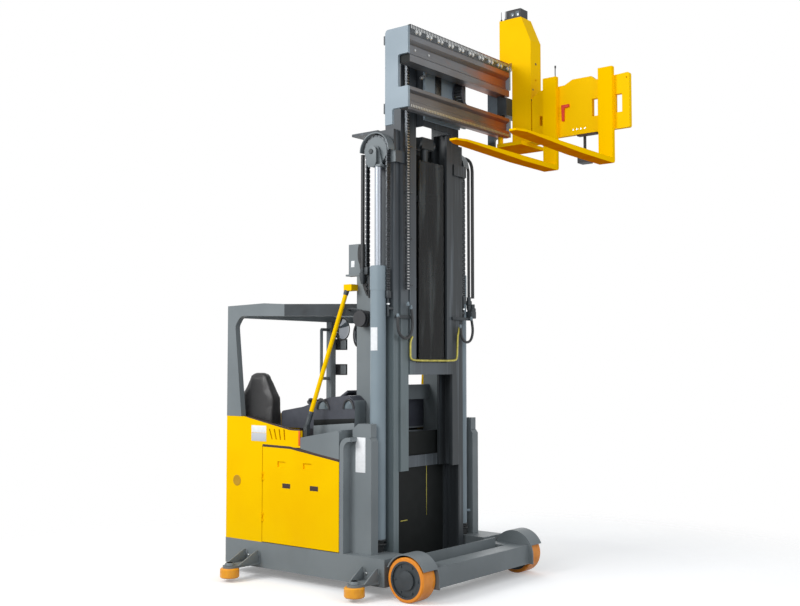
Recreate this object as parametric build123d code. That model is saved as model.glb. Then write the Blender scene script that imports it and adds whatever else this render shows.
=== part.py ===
from build123d import *
import os

# A tri-lateral stacker: a three-stage mast on a wheeled chassis, with a traversing
# head whose forks swivel from one side to the other.
# Millimetres. X points forward from the cab to the forks, Y to the left, Z up.
# Every place is measured from the floor below the middle of the front axle. At the
# end the whole machine moves so that its origin is the middle of its underside.

# Clearances: a pin in its bore, a piece on its seat, a mast roller in its channel
RUNNING_FIT = 0.1
SEAT_GAP = 0.3
RUNNING_GAP = 0.4

# Driving sizes of the running gear. The machine's width drives the mast's width too.
BODY_HALF = 780
HALF_WIDTH = BODY_HALF + 10
WHEEL_RADIUS = 160
WHEEL_WIDTH = 147
TREAD_THICKNESS = 26
HUB_RADIUS = 70
WHEEL_GAP = 7
AXLE_RADIUS = 25
DRIVE_X = -1560
DRIVE_Y = -230
DRIVE_RADIUS = 170
DRIVE_WIDTH = 130
DRIVE_YOKE_GAP = 12

# Driving sizes of the chassis and body
CHASSIS_REAR = -1900
CHASSIS_LOW = 80
CHASSIS_TOP = 280
CHASSIS_PLATE = 16
SKIRT_FRONT = -200
PANEL = 25
BODY_REAR = -1870
BODY_FRONT = -640
DOOR_REAR = -1450
DOOR_LOW = 286
DOOR_TOP = 1035
DOOR_TOP_FRONT = 962
SEAM = 6
BODY_TOP = 1265
COWL_END = -1040
COWL_END_TOP = 1172
FLOOR_TOP = 450
FOOTWELL_FRONT = -1060
PEDESTAL_FRONT = -1350
PEDESTAL_SIDE = -110
PEDESTAL_TOP = 800
SHEET = 12

# Driving sizes of the mast: rest places of its stages
MAST_LOW = 100
MAST_TOP = 3500
OUTER_FRONT = -375
OUTER_HALF = round(0.586 * BODY_HALF)
CHANNEL_DEPTH = 160
CHANNEL_LIP = 64
CHANNEL_WEB = 14
CHANNEL_FLANGE = 20
STAGE_GAP = 7
MIDDLE_FRONT = OUTER_FRONT + 15
MIDDLE_HALF = OUTER_HALF - 71
MIDDLE_LIP = 96
MIDDLE_LOW = MAST_LOW + 770
MIDDLE_TOP = MAST_TOP + 770
INNER_FRONT = MIDDLE_FRONT + 10
INNER_HALF = MIDDLE_HALF - 103
INNER_LIP = 78
INNER_LOW = MIDDLE_LOW + 735
INNER_TOP = MIDDLE_TOP - 15
STAGE_DEPTH = 155

# Driving sizes of the lift cylinders
CYLINDER_X = OUTER_FRONT - 89
CYLINDER_Y = OUTER_HALF + 78
CYLINDER_RADIUS = 63
CYLINDER_LOW = CHASSIS_TOP + 80
CYLINDER_TOP = CYLINDER_LOW + 2070
ROD_RADIUS = 27
ROD_LOW = CYLINDER_LOW + 810
ROD_TOP = MAST_TOP - 300
SHEAVE_X = CYLINDER_X - 41
SHEAVE_Y = OUTER_HALF + 43
SHEAVE_Z = ROD_TOP + 130
SHEAVE_RADIUS = 110
SHEAVE_WIDTH = 36
SHEAVE_GUARD = 144
FREE_CYLINDER_RADIUS = 55
FREE_CYLINDER_X = INNER_FRONT - 78
FREE_CYLINDER_TOP = INNER_LOW + 990
FREE_ROD_RADIUS = 30
FREE_ROD_LOW = FREE_CYLINDER_TOP - 65
FREE_HEAD_LOW = FREE_CYLINDER_TOP + 817
FREE_HEAD_HEIGHT = 90

# Driving sizes of the traverse frame and head
RAIL_HALF = 700
RAIL_FRONT = -45
RAIL_BACK = -145
TOP_RAIL = (3920, 4190)
LOW_RAIL = (3580, 3735)
CARRIAGE_LOW = LOW_RAIL[0] - 25
CARRIAGE_TOP = TOP_RAIL[1] - 10
END_PLATE_BACK = -262
END_PLATE = 22
HEAD_Y = RAIL_HALF + 90
COLUMN_HALF = 80
COLUMN_BACK = -30
COLUMN_FRONT = 153
COLUMN_LOW = LOW_RAIL[0] - 60
COLUMN_TOP = TOP_RAIL[1] + 400
OVERHANG_LOW = TOP_RAIL[1] + 22
OVERHANG_BACK = -153
SWIVEL_X = 600
PLATE_HALF = 438
PLATE_FACE = HEAD_Y - 90
PLATE_THICKNESS = 40
PLATE_LOW = COLUMN_LOW + 2
PLATE_TOP = PLATE_LOW + 418
FORK_SPREAD = 250
FORK_WIDTH = 122
FORK_THICKNESS = 40
FORK_LOW = PLATE_LOW - 272
FORK_TOP = PLATE_TOP + 75
FORK_TIP = -690

# Driving sizes of the cab
GUARD_TOP = 2165
GUARD_BEAM = 95
GUARD_SLIM = 60
SLIM_POST_Y = BODY_HALF - 380
SEAT_WIDTH = 400
SEAT_X = BODY_REAR + PANEL + 13 + SEAT_WIDTH / 2
SEAT_Y = 310 - BODY_HALF
SEAT_YAW = 90


def block(x, y, z):
    """A box given by its low and high place along each axis."""
    size = [high - low for low, high in (x, y, z)]
    middle = [(high + low) / 2 for low, high in (x, y, z)]
    return Pos(*middle) * Box(*size)


def outline(*corners):
    """A closed flat outline. A third number on a corner is its rounding radius."""
    flat = Polygon(*[corner[:2] for corner in corners], align=None)
    rounded = [corner for corner in corners if len(corner) > 2]
    for radius in sorted({corner[2] for corner in rounded}):
        spots = [Vector(c[0], c[1]) for c in rounded if c[2] == radius]
        near = [v for v in flat.vertices()
                if any((Vector(v.X, v.Y) - spot).length < 0.01 for spot in spots)]
        flat = fillet(near, radius)
    return flat


def along_x(flat, low, high):
    """Extrude an outline given as (Y, Z) from one X to another."""
    return Pos(low, 0, 0) * (Plane.YZ * extrude(flat, high - low, dir=(0, 0, 1)))


def along_y(flat, low, high):
    """Extrude an outline given as (X, Z) from one Y to another."""
    return Pos(0, high, 0) * Rot(90, 0, 0) * extrude(flat, high - low, dir=(0, 0, 1))


def along_z(flat, low, high):
    """Extrude an outline given as (X, Y) from one Z to another."""
    return Pos(0, 0, low) * extrude(flat, high - low, dir=(0, 0, 1))


def disc_x(x, y, z, radius):
    return Pos((x[0] + x[1]) / 2, y, z) * Rot(0, 90, 0) * Cylinder(radius, x[1] - x[0])


def disc_y(x, y, z, radius):
    return Pos(x, (y[0] + y[1]) / 2, z) * Rot(90, 0, 0) * Cylinder(radius, y[1] - y[0])


def disc_z(x, y, z, radius):
    return Pos(x, y, (z[0] + z[1]) / 2) * Cylinder(radius, z[1] - z[0])


def bar(start, end, radius):
    """A round bar between two points."""
    axis = Vector(*end) - Vector(*start)
    return Plane(origin=start, z_dir=axis) * Cylinder(
        radius, axis.length, align=(Align.CENTER, Align.CENTER, Align.MIN))


def other_side(shape):
    return mirror(shape, about=Plane.XZ)


def both_sides(shape):
    return shape + other_side(shape)


def set_together(*shapes):
    """Pieces of one node that touch and stay separate solids."""
    return Compound([solid for shape in shapes for solid in shape.solids()])


# The wheels

WHEEL_INNER = HALF_WIDTH - WHEEL_WIDTH


def front_wheel():
    """The right front wheel as its tread and its hub, which fills the tread."""
    rim = WHEEL_RADIUS - TREAD_THICKNESS
    middle = -(HALF_WIDTH + WHEEL_INNER) / 2
    place = Pos(0, middle, WHEEL_RADIUS) * Rot(90, 0, 0)
    edge = 8
    solid = Cylinder(WHEEL_RADIUS, WHEEL_WIDTH)
    solid = chamfer(solid.edges().filter_by(GeomType.CIRCLE), edge)
    tread = place * (solid - Cylinder(rim, WHEEL_WIDTH))
    dish = 14
    rim_lip = 14
    hub = Cylinder(rim, WHEEL_WIDTH)
    recess = Cylinder(rim - rim_lip, dish) - Cylinder(HUB_RADIUS, dish)
    hub -= Pos(0, 0, (WHEEL_WIDTH - dish) / 2) * recess
    hub = place * (hub - Cylinder(AXLE_RADIUS + RUNNING_FIT, WHEEL_WIDTH))
    return tread, hub


CROWN_LOW = 2 * DRIVE_RADIUS + DRIVE_YOKE_GAP
CROWN_TOP = CROWN_LOW + 45
CROWN_RADIUS = 135
MOTOR_RADIUS = 95


def drive_unit():
    """The driven and steered rear wheel: its yoke with motor, tread and hub."""
    rim = DRIVE_RADIUS - TREAD_THICKNESS
    half = DRIVE_WIDTH / 2
    place = Pos(DRIVE_X, DRIVE_Y, DRIVE_RADIUS) * Rot(90, 0, 0)
    tread = place * (Cylinder(DRIVE_RADIUS, DRIVE_WIDTH) - Cylinder(rim, DRIVE_WIDTH))
    hub = place * (Cylinder(rim, DRIVE_WIDTH) - Cylinder(AXLE_RADIUS + RUNNING_FIT, DRIVE_WIDTH))
    cheek = 30
    leg = (DRIVE_Y - half - DRIVE_YOKE_GAP - cheek, DRIVE_Y - half - DRIVE_YOKE_GAP)
    leg_half = 60
    yoke = block((DRIVE_X - leg_half, DRIVE_X + leg_half), leg, (110, CROWN_TOP))
    yoke += disc_z(DRIVE_X, DRIVE_Y, (CROWN_LOW, CROWN_TOP), CROWN_RADIUS)
    yoke += disc_z(DRIVE_X, DRIVE_Y, (CROWN_TOP, 700), MOTOR_RADIUS)
    yoke += disc_y(DRIVE_X, (leg[1], DRIVE_Y + half), DRIVE_RADIUS, AXLE_RADIUS)
    return yoke, tread, hub


# Guide rollers: one row for each side's roller, (middle X, distance of middle from Y = 0)
GUIDE_ROLLERS = {"rear": (-1550, BODY_HALF + 250), "front": (-320, BODY_HALF + 190)}
GUIDE_RADIUS = 75
GUIDE_LOW = 30
GUIDE_HEIGHT = 75
GUIDE_ARM = 18
GUIDE_PIN = 16


def guide_roller(place):
    x, y = GUIDE_ROLLERS[place]
    ring = Cylinder(GUIDE_RADIUS, GUIDE_HEIGHT)
    ring = chamfer(ring.edges().filter_by(GeomType.CIRCLE), 8)
    ring -= Cylinder(GUIDE_PIN + RUNNING_FIT, GUIDE_HEIGHT)
    return Pos(x, -y, GUIDE_LOW + GUIDE_HEIGHT / 2) * ring


def guide_bracket(place):
    """The arm that reaches out of the skirt to a roller, with its pin and nut."""
    x, y = GUIDE_ROLLERS[place]
    low = GUIDE_LOW + GUIDE_HEIGHT + SEAT_GAP
    half = 50
    arm = along_z(outline((x - half, -y - half, half - 1), (x + half, -y - half, half - 1),
                          (x + half + 30, -BODY_HALF), (x - half - 30, -BODY_HALF)),
                  low, low + GUIDE_ARM)
    pin = disc_z(x, -y, (GUIDE_LOW - SEAT_GAP - 6, low + GUIDE_ARM), GUIDE_PIN)
    pin += disc_z(x, -y, (GUIDE_LOW - SEAT_GAP - 6, GUIDE_LOW - SEAT_GAP), GUIDE_PIN + 9)
    nut = Pos(x, -y, low + GUIDE_ARM) * extrude(RegularPolygon(30, 6), 22)
    flange = block((x - half - 30, x + half + 30), (-BODY_HALF - 14, -BODY_HALF),
                   (low, low + 70))
    return arm + pin + nut + flange


# The chassis

BEAM_FRONT = 145
BEAM_BACK = 3
BEAM_TOP = 240
BEAM_LOW = 90
ARM_INNER = OUTER_HALF + 43
ARM_OUTER = WHEEL_INNER - WHEEL_GAP
BAY_REAR = -600
TROUGH_WALL = -100
TROUGH_TOP = 292
FENDER_RADIUS = WHEEL_RADIUS + 14


def chassis_frame():
    """The welded base: decked rear box, two straddle arms and the front beam."""
    deck = outline((CHASSIS_REAR, -BODY_HALF, 45), (SKIRT_FRONT, -BODY_HALF),
                   (SKIRT_FRONT, BODY_HALF), (CHASSIS_REAR, BODY_HALF, 45))
    frame = along_z(deck, CHASSIS_LOW, CHASSIS_TOP)
    cavity = (CHASSIS_LOW, CHASSIS_TOP - CHASSIS_PLATE)
    wall = 2 * CHASSIS_PLATE
    frame -= block((CHASSIS_REAR + wall, BAY_REAR - wall),
                   (-BODY_HALF + wall, BODY_HALF - wall), cavity)
    frame -= block((BAY_REAR, SKIRT_FRONT), (-ARM_INNER, ARM_INNER),
                   (CHASSIS_LOW, CHASSIS_TOP))
    for side in (-1, 1):
        pocket = sorted((side * (ARM_INNER + wall), side * (BODY_HALF - wall)))
        frame -= block((BAY_REAR, SKIRT_FRONT - wall), pocket, cavity)
        arm = sorted((side * ARM_INNER, side * ARM_OUTER))
        frame += block((SKIRT_FRONT, BEAM_FRONT), arm, (BEAM_LOW, BEAM_TOP))
        frame += wheel_arch(side)
    frame += block((BEAM_BACK, BEAM_FRONT), (-ARM_INNER, ARM_INNER), (BEAM_LOW, BEAM_TOP))
    frame += block((TROUGH_WALL, TROUGH_WALL + SHEET), (-ARM_INNER, ARM_INNER),
                   (BEAM_LOW, TROUGH_TOP))
    frame += block((TROUGH_WALL, BEAM_BACK), (-ARM_INNER, ARM_INNER),
                   (BEAM_LOW, BEAM_LOW + SHEET))
    hole = DRIVE_RADIUS + 35
    frame -= disc_z(DRIVE_X, DRIVE_Y, (CHASSIS_LOW, CHASSIS_TOP), hole)
    seat = block((BAY_REAR, OUTER_FRONT), (-ARM_INNER, ARM_INNER),
                 (CHASSIS_LOW, MAST_LOW))
    return frame + seat + drive_ring(hole)


def drive_ring(inside):
    """The round wall on the deck whose lid carries the turning drive unit."""
    wall = 15
    lid = (CROWN_TOP + SEAT_GAP, CROWN_TOP + SEAT_GAP + 18)
    ring = disc_z(DRIVE_X, DRIVE_Y, (CHASSIS_TOP - CHASSIS_PLATE, lid[1]), inside + wall)
    ring -= disc_z(DRIVE_X, DRIVE_Y, (CHASSIS_TOP - CHASSIS_PLATE, lid[0]), inside)
    return ring - disc_z(DRIVE_X, DRIVE_Y, lid, MOTOR_RADIUS + RUNNING_FIT)


def wheel_arch(side):
    """The plate inside a front wheel and the fender over it, on one side."""
    top = FENDER_RADIUS + 10
    inner = along_y(Pos(0, WHEEL_RADIUS) * Circle(top)
                    + Pos(0, (WHEEL_RADIUS + BEAM_LOW) / 2)
                    * Rectangle(2 * top, WHEEL_RADIUS - BEAM_LOW), -ARM_OUTER, -ARM_OUTER + SHEET)
    inner -= block((-400, 400), (-800, 0), (-100, BEAM_LOW))
    sheet = (Pos(0, WHEEL_RADIUS) * (Circle(top) - Circle(FENDER_RADIUS)))
    cover = along_y(sheet, -HALF_WIDTH + 2, -ARM_OUTER)
    cover -= block((-400, 400), (-HALF_WIDTH, 0), (-100, WHEEL_RADIUS + 75))
    axle = disc_y(0, (-HALF_WIDTH + 20, -ARM_OUTER + SHEET), WHEEL_RADIUS, AXLE_RADIUS)
    arch = inner + cover + axle
    return arch if side < 0 else other_side(arch)


# The body panels

def side_profile(front, low):
    """The curved top of a side panel, from the rear to the given front."""
    return outline((BODY_REAR, low), (BODY_REAR, BODY_TOP), (BODY_REAR + 210, BODY_TOP, 400),
                   (front - 110, COWL_END_TOP, 400), (front, COWL_END_TOP), (front, low))


HINGE_RADIUS = 8
HINGE_PIN = 4
HINGE_LEAF = 18
HINGE_HALF = 34
HINGE_HEIGHTS = (480, 800)


def hinges(x, leaf_side):
    """The leaves and knuckles at a door's rear edge, right side: -1 fixed, 1 on the door."""
    y = -BODY_HALF - HINGE_RADIUS
    third = 14
    leaf = sorted((x, x + leaf_side * HINGE_LEAF))
    pieces = []
    for z in HINGE_HEIGHTS:
        if leaf_side < 0:
            knuckle = disc_z(x, y, (z - third, z + third), HINGE_RADIUS)
            knuckle += disc_z(x, y, (z - HINGE_HALF, z + HINGE_HALF), HINGE_PIN)
            pieces.append(knuckle + block(leaf, (y + 4, -BODY_HALF), (z - third, z + third)))
            continue
        for span in ((z - HINGE_HALF, z - third - SEAT_GAP), (z + third + SEAT_GAP, z + HINGE_HALF)):
            knuckle = disc_z(x, y, span, HINGE_RADIUS) + block(leaf, (y + 4, -BODY_HALF), span)
            pieces.append(knuckle - disc_z(x, y, span, HINGE_PIN + RUNNING_FIT))
    return Part() + pieces


HINGE_RIGHT = DOOR_REAR - SEAM / 2
HINGE_LEFT = COWL_END + SEAM / 2


# The slanting air slits behind the cowl: foot of the first one, spacing and lean
VENTS = 4
VENT_X = COWL_END - 312
VENT_LOW = 1094
VENT_HEIGHT = 82
VENT_WIDTH = 13
VENT_PITCH = 46
VENT_LEAN = 8


def body_side_right():
    flat = side_profile(COWL_END, CHASSIS_TOP)
    panel = along_y(flat, -BODY_HALF, -BODY_HALF + PANEL)
    panel -= block((DOOR_REAR - SEAM, COWL_END), (-BODY_HALF, -BODY_HALF + PANEL),
                   (CHASSIS_TOP, DOOR_TOP + SEAM))
    for slot in range(VENTS):
        foot = VENT_X + slot * VENT_PITCH
        lean = VENT_LEAN * (VENTS - slot)
        slit = Polygon((foot, VENT_LOW), (foot + VENT_WIDTH, VENT_LOW),
                       (foot + VENT_WIDTH - lean, VENT_LOW + VENT_HEIGHT),
                       (foot - lean, VENT_LOW + VENT_HEIGHT), align=None)
        panel -= along_y(slit, -BODY_HALF, -BODY_HALF + PANEL)
    return panel + hinges(HINGE_RIGHT, -1)


ENTRY_REAR = -1610


def body_side_left():
    flat = side_profile(COWL_END, CHASSIS_TOP)
    panel = along_y(flat, BODY_HALF - PANEL, BODY_HALF)
    panel -= block((ENTRY_REAR, FOOTWELL_FRONT), (BODY_HALF - PANEL, BODY_HALF),
                   (FLOOR_TOP, BODY_TOP))
    return panel + other_side(hinges(HINGE_LEFT, -1))


def rear_panel():
    half = BODY_HALF - PANEL
    panel = block((BODY_REAR, BODY_REAR + PANEL), (-half, half), (CHASSIS_TOP, BODY_TOP))
    return panel


def door_right():
    flat = outline((DOOR_REAR, DOOR_LOW), (BODY_FRONT, DOOR_LOW),
                   (BODY_FRONT, DOOR_TOP_FRONT), (DOOR_REAR + 300, DOOR_TOP - 4),
                   (DOOR_REAR, DOOR_TOP))
    door = along_y(flat, -BODY_HALF, -BODY_HALF + PANEL)
    for x in (DOOR_REAR + 165, DOOR_REAR + 440):
        door -= block((x, x + 90), (-BODY_HALF, -BODY_HALF + 12), (880, 925))
    return door + hinges(HINGE_RIGHT, 1)


def door_left():
    flat = outline((COWL_END + SEAM, DOOR_LOW), (BODY_FRONT, DOOR_LOW),
                   (BODY_FRONT, DOOR_TOP_FRONT), (COWL_END + SEAM, DOOR_TOP - 15))
    door = along_y(flat, BODY_HALF - PANEL, BODY_HALF)
    x = COWL_END + 250
    door -= block((x, x + 90), (BODY_HALF - 12, BODY_HALF), (880, 925))
    return door + other_side(hinges(HINGE_LEFT, 1))


HOOD_TOP_REAR = 1120
HOOD_TOP_FRONT = 1190
HOOD_SLOPE = (HOOD_TOP_FRONT - HOOD_TOP_REAR) / (BODY_FRONT - COWL_END)
TOWER_FRONT = OUTER_FRONT - 187
TOWER_REAR = TOWER_FRONT - 178
TOWER_OUTER = OUTER_HALF + 5
TOWER_INNER = TOWER_OUTER - 60
TOWER_TOP = GUARD_TOP + 215
NOTCH_REAR = TOWER_REAR - 8
NOTCH_HALF = TOWER_OUTER + 8


def hood():
    """The grey cover between cab and mast, notched round the mast columns."""
    cheek = outline((COWL_END + 1, DOOR_TOP), (BODY_FRONT, DOOR_TOP_FRONT + SEAM),
                    (BODY_FRONT, HOOD_TOP_FRONT, 20), (COWL_END + 1, HOOD_TOP_REAR))
    cover = both_sides(along_y(cheek, -BODY_HALF, -BODY_HALF + PANEL))
    half = BODY_HALF - PANEL
    deck = outline((COWL_END + 1, HOOD_TOP_REAR - SHEET), (BODY_FRONT, HOOD_TOP_FRONT - SHEET),
                   (BODY_FRONT, HOOD_TOP_FRONT), (COWL_END + 1, HOOD_TOP_REAR))
    cover += along_y(deck, -half, half)
    cover += block((BODY_FRONT - SHEET, BODY_FRONT), (-half, half),
                   (CHASSIS_TOP, HOOD_TOP_FRONT - 2))
    cover -= block((NOTCH_REAR, BODY_FRONT), (-NOTCH_HALF, NOTCH_HALF),
                   (CHASSIS_TOP, HOOD_TOP_FRONT + 1))
    walls = block((NOTCH_REAR - SHEET, BODY_FRONT), (-NOTCH_HALF - SHEET, NOTCH_HALF + SHEET),
                  (CHASSIS_TOP, HOOD_TOP_REAR + 20))
    walls -= block((NOTCH_REAR, BODY_FRONT), (-NOTCH_HALF, NOTCH_HALF),
                   (CHASSIS_TOP, HOOD_TOP_REAR + 20))
    return cover + walls


def cab_tub():
    """The grey inner tub: floor, front wall, seat pedestal and its side wall."""
    half = BODY_HALF - PANEL
    rear = BODY_REAR + PANEL
    floor = (FLOOR_TOP - SHEET, FLOOR_TOP)
    wall = (FLOOR_TOP - SHEET, PEDESTAL_TOP)
    tub = block((rear, FOOTWELL_FRONT), (-half, half), floor)
    tub -= block((rear, PEDESTAL_FRONT - SHEET), (-half, PEDESTAL_SIDE - SHEET), floor)
    tub += block((FOOTWELL_FRONT - SHEET, FOOTWELL_FRONT), (-half, half),
                 (CHASSIS_TOP, HOOD_TOP_REAR - SHEET))
    tub += block((rear, PEDESTAL_FRONT), (-half, PEDESTAL_SIDE),
                 (PEDESTAL_TOP - SHEET, PEDESTAL_TOP))
    tub += block((rear, PEDESTAL_FRONT), (PEDESTAL_SIDE - SHEET, PEDESTAL_SIDE), wall)
    tub += block((PEDESTAL_FRONT - SHEET, PEDESTAL_FRONT), (-half, PEDESTAL_SIDE), wall)
    return tub


def battery():
    half = BODY_HALF - 180
    return block((FOOTWELL_FRONT + 10, NOTCH_REAR - SHEET - 10), (-half, half),
                 (CHASSIS_TOP, DOOR_TOP - 85))


CONSOLE_SIDE = 180 - BODY_HALF
ARMREST_INNER = CONSOLE_SIDE + 240
ARMREST_LENGTH = FOOTWELL_FRONT - SEAT_X - SEAT_WIDTH / 2 - 12


def console():
    """The dashboard over the hood, with the control arm beside the seat."""
    rear = FOOTWELL_FRONT
    low = HOOD_TOP_REAR
    high = HOOD_TOP_FRONT
    dash = outline((rear, low), (BODY_FRONT, high), (BODY_FRONT, high + 210, 30),
                   (BODY_FRONT - 60, high + 258, 40), (rear + 160, high + 238),
                   (rear + 20, low + 275, 30), (rear - 15, low + 180), (rear - SHEET, low))
    cover = along_y(dash, CONSOLE_SIDE, -CONSOLE_SIDE)
    arm = outline((rear - ARMREST_LENGTH, low + 60, 20), (rear, low + 60), (rear, low + 268),
                  (rear - 120, low + 230, 40), (rear - ARMREST_LENGTH - 5, low + 190, 30))
    cover += along_y(arm, CONSOLE_SIDE, ARMREST_INNER)
    return cover - block((NOTCH_REAR, BODY_FRONT), (-NOTCH_HALF, NOTCH_HALF),
                         (HOOD_TOP_REAR, HOOD_TOP_FRONT + 270))


WHEEL_RIM = 130
STEER_X = -1715
STEER_Y = SLIM_POST_Y - 185
STEER_Z = 1335
STEER_TILT = 12
POD_TOP = 1270


def steering_pod():
    """The rear console that carries the steering wheel."""
    side = outline((BODY_REAR + PANEL, FLOOR_TOP), (ENTRY_REAR + 10, FLOOR_TOP),
                   (ENTRY_REAR + 10, POD_TOP - 120, 40),
                   (STEER_X + 60, POD_TOP, 30), (BODY_REAR + PANEL, POD_TOP))
    return along_y(side, 60, SLIM_POST_Y - 20)


def steering_wheel():
    place = Pos(STEER_X, STEER_Y, STEER_Z) * Rot(0, STEER_TILT, 0)
    rim = revolve(Plane.XZ * Pos(WHEEL_RIM, 0) * RegularPolygon(14, 8), Axis.Z)
    spokes = Box(2 * WHEEL_RIM, 22, 10) + Cylinder(32, 26)
    stalk = bar((STEER_X, STEER_Y, POD_TOP + 0.3), (STEER_X, STEER_Y, STEER_Z), 22)
    return place * (rim + spokes) + stalk


def seat_place():
    return Pos(SEAT_X, SEAT_Y, 0) * Rot(0, 0, SEAT_YAW)


CUSHION_LOW = PEDESTAL_TOP + 70
CUSHION_TOP = CUSHION_LOW + 110


def seat_base():
    frame = block((-190, 260), (-SEAT_WIDTH / 2 + 40, SEAT_WIDTH / 2 - 40),
                  (PEDESTAL_TOP, CUSHION_LOW))
    return seat_place() * frame


def seat_cushion():
    pad = block((-130, 300), (-SEAT_WIDTH / 2, SEAT_WIDTH / 2), (CUSHION_LOW, CUSHION_TOP))
    pad = fillet(pad.edges().filter_by(Axis.Z), 50)
    return seat_place() * chamfer(pad.faces().sort_by(Axis.Z)[-1].edges(), 18)


def seat_back():
    """The backrest, round at the top like an arch and curved at the small of the back."""
    half = SEAT_WIDTH / 2
    side = outline((-215, CUSHION_LOW), (-140, CUSHION_LOW), (-140, CUSHION_TOP + 5),
                   (-90, 1200, 120), (-130, 1640, 30), (-190, 1640, 30), (-225, 1200, 200))
    face = outline((-half, CUSHION_LOW), (half, CUSHION_LOW), (half, 1430, 120),
                   (75, 1640, 70), (-75, 1640, 70), (-half, 1430, 120))
    return seat_place() * (along_y(side, -half, half) & along_x(face, -400, 400))


# The overhead guard

GUARD_TAPER = -1220
GUARD_FRONT = TOWER_REAR - 0.3
GUARD_FRONT_HALF = TOWER_OUTER - 32


def overhead_guard():
    """The rear pillar and arched side plate, the tapered roof frame and its bars."""
    top = [(BODY_REAR, GUARD_TOP), (BODY_REAR + 420, GUARD_TOP + 10),
           (GUARD_TAPER, GUARD_TOP - 4)]
    side = outline((BODY_REAR, BODY_TOP + 1), *top, (GUARD_TAPER, GUARD_TOP - 4 - GUARD_BEAM),
                   (BODY_REAR + 150, GUARD_TOP - GUARD_BEAM + 12, 80), (BODY_REAR + 90, GUARD_TOP - 165, 60),
                   (BODY_REAR + 170, BODY_TOP + 1))
    plate = 50
    guard_bar = (GUARD_TOP - 50, GUARD_TOP - 8)
    guard = along_y(side, -BODY_HALF, -BODY_HALF + plate)
    roof_low = GUARD_TOP - GUARD_BEAM
    beam = block((BODY_REAR, GUARD_TAPER), (BODY_HALF - plate, BODY_HALF),
                 (roof_low, GUARD_TOP - 4))
    guard += beam
    for side_sign in (-1, 1):
        outer = side_sign * BODY_HALF
        inner = side_sign * GUARD_FRONT_HALF
        wide = side_sign * plate
        taper = along_z(Polygon((GUARD_TAPER, outer), (GUARD_FRONT, inner),
                                (GUARD_FRONT, inner - wide), (GUARD_TAPER, outer - wide),
                                align=None), roof_low - 4, GUARD_TOP - 4)
        guard += taper
    guard += block((GUARD_FRONT - plate, GUARD_FRONT), (-GUARD_FRONT_HALF, GUARD_FRONT_HALF),
                   (roof_low - 4, GUARD_TOP - 4))
    guard += block((BODY_REAR, BODY_REAR + plate), (-BODY_HALF, BODY_HALF),
                   (roof_low, GUARD_TOP - 4))
    spacing = BODY_HALF / 3.25
    for y in [spacing * step for step in (-2, -1, 0, 1, 2)]:
        guard += block((BODY_REAR, GUARD_TAPER + 60), (y - 15, y + 15),
                       guard_bar)
    guard += block((GUARD_TAPER, GUARD_TAPER + 60), (-BODY_HALF + plate, BODY_HALF - plate),
                   guard_bar)
    return guard


def slim_post():
    """The slim rear post with its grab bar."""
    rear = BODY_REAR + PANEL
    post = block((rear, rear + GUARD_SLIM), (SLIM_POST_Y, SLIM_POST_Y + GUARD_SLIM),
                 (FLOOR_TOP, GUARD_TOP - GUARD_BEAM - SEAT_GAP))
    middle = rear + GUARD_SLIM / 2
    grab_y = SLIM_POST_Y - 100
    grab = (GUARD_TOP - 605, GUARD_TOP - 165)
    post += bar((middle, grab_y, grab[0]), (middle, grab_y, grab[1]), 14)
    for z in grab:
        post += bar((middle, grab_y, z), (middle, SLIM_POST_Y + 5, z), 14)
    return post


# The lamps and mirrors

LAMP_X = BODY_REAR + PANEL + 45
LAMP_HEIGHTS = (GUARD_TOP - 297, GUARD_TOP - 526)
LAMP_HALF = 50
FLOOD_RADIUS = 62
DOME_RADIUS = 102
MIRROR_SIZE = (55, 94)


def lamps():
    """Two work lamps on the slim post and one on the mast tower, each with its bracket."""
    post_side = SLIM_POST_Y + GUARD_SLIM
    inner = post_side + 15
    pieces = []
    for z in LAMP_HEIGHTS:
        lamp = block((LAMP_X - 35, LAMP_X + 55), (inner, inner + 2 * LAMP_HALF),
                     (z - LAMP_HALF, z + LAMP_HALF))
        lamp -= block((LAMP_X + 47, LAMP_X + 55), (inner + 8, inner + 2 * LAMP_HALF - 8),
                      (z - LAMP_HALF + 8, z + LAMP_HALF - 8))
        for fin in (-1, 0, 1):
            high = z + fin * 30
            lamp += block((LAMP_X - 50, LAMP_X - 35), (inner + 5, inner + 2 * LAMP_HALF - 5),
                          (high - 4, high + 4))
        pieces.append(lamp + block((LAMP_X - 15, LAMP_X + 15), (post_side + SEAT_GAP, inner),
                                   (z - 12, z + 12)))
    flood = (TOWER_FRONT - 76, -TOWER_OUTER - SEAT_GAP, GUARD_TOP - 127)
    bowl = disc_y(flood[0], (flood[1] - 90, flood[1] - 35), flood[2], FLOOD_RADIUS)
    bowl -= disc_y(flood[0], (flood[1] - 90, flood[1] - 80), flood[2], FLOOD_RADIUS - 8)
    pieces.append(bowl + disc_y(flood[0], (flood[1] - 35, flood[1]), flood[2], 16))
    return Part() + pieces


def mirrors():
    """The dome mirror under a guard bar and the long mirror under the front beam."""
    bar_y = 2 * BODY_HALF / 3.25
    bar_low = GUARD_TOP - 50 - SEAT_GAP
    dome_x = BODY_REAR + 146
    dome = disc_x((dome_x - 14, dome_x), bar_y, bar_low - 108, DOME_RADIUS)
    dome += disc_z(dome_x - 7, bar_y, (bar_low - 108, bar_low), 5)
    beam_low = GUARD_TOP - GUARD_BEAM - 4 - SEAT_GAP
    long_x = GUARD_FRONT - 25
    long_y = -GUARD_FRONT_HALF + 22
    wide, tall = MIRROR_SIZE
    face = along_x(Pos(long_y, beam_low - 150) * Ellipse(wide, tall), long_x - 14, long_x)
    stalk = disc_z(long_x - 7, long_y, (beam_low - 150, beam_low), 5)
    return Part() + [dome, face + stalk]


# The mast


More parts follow.
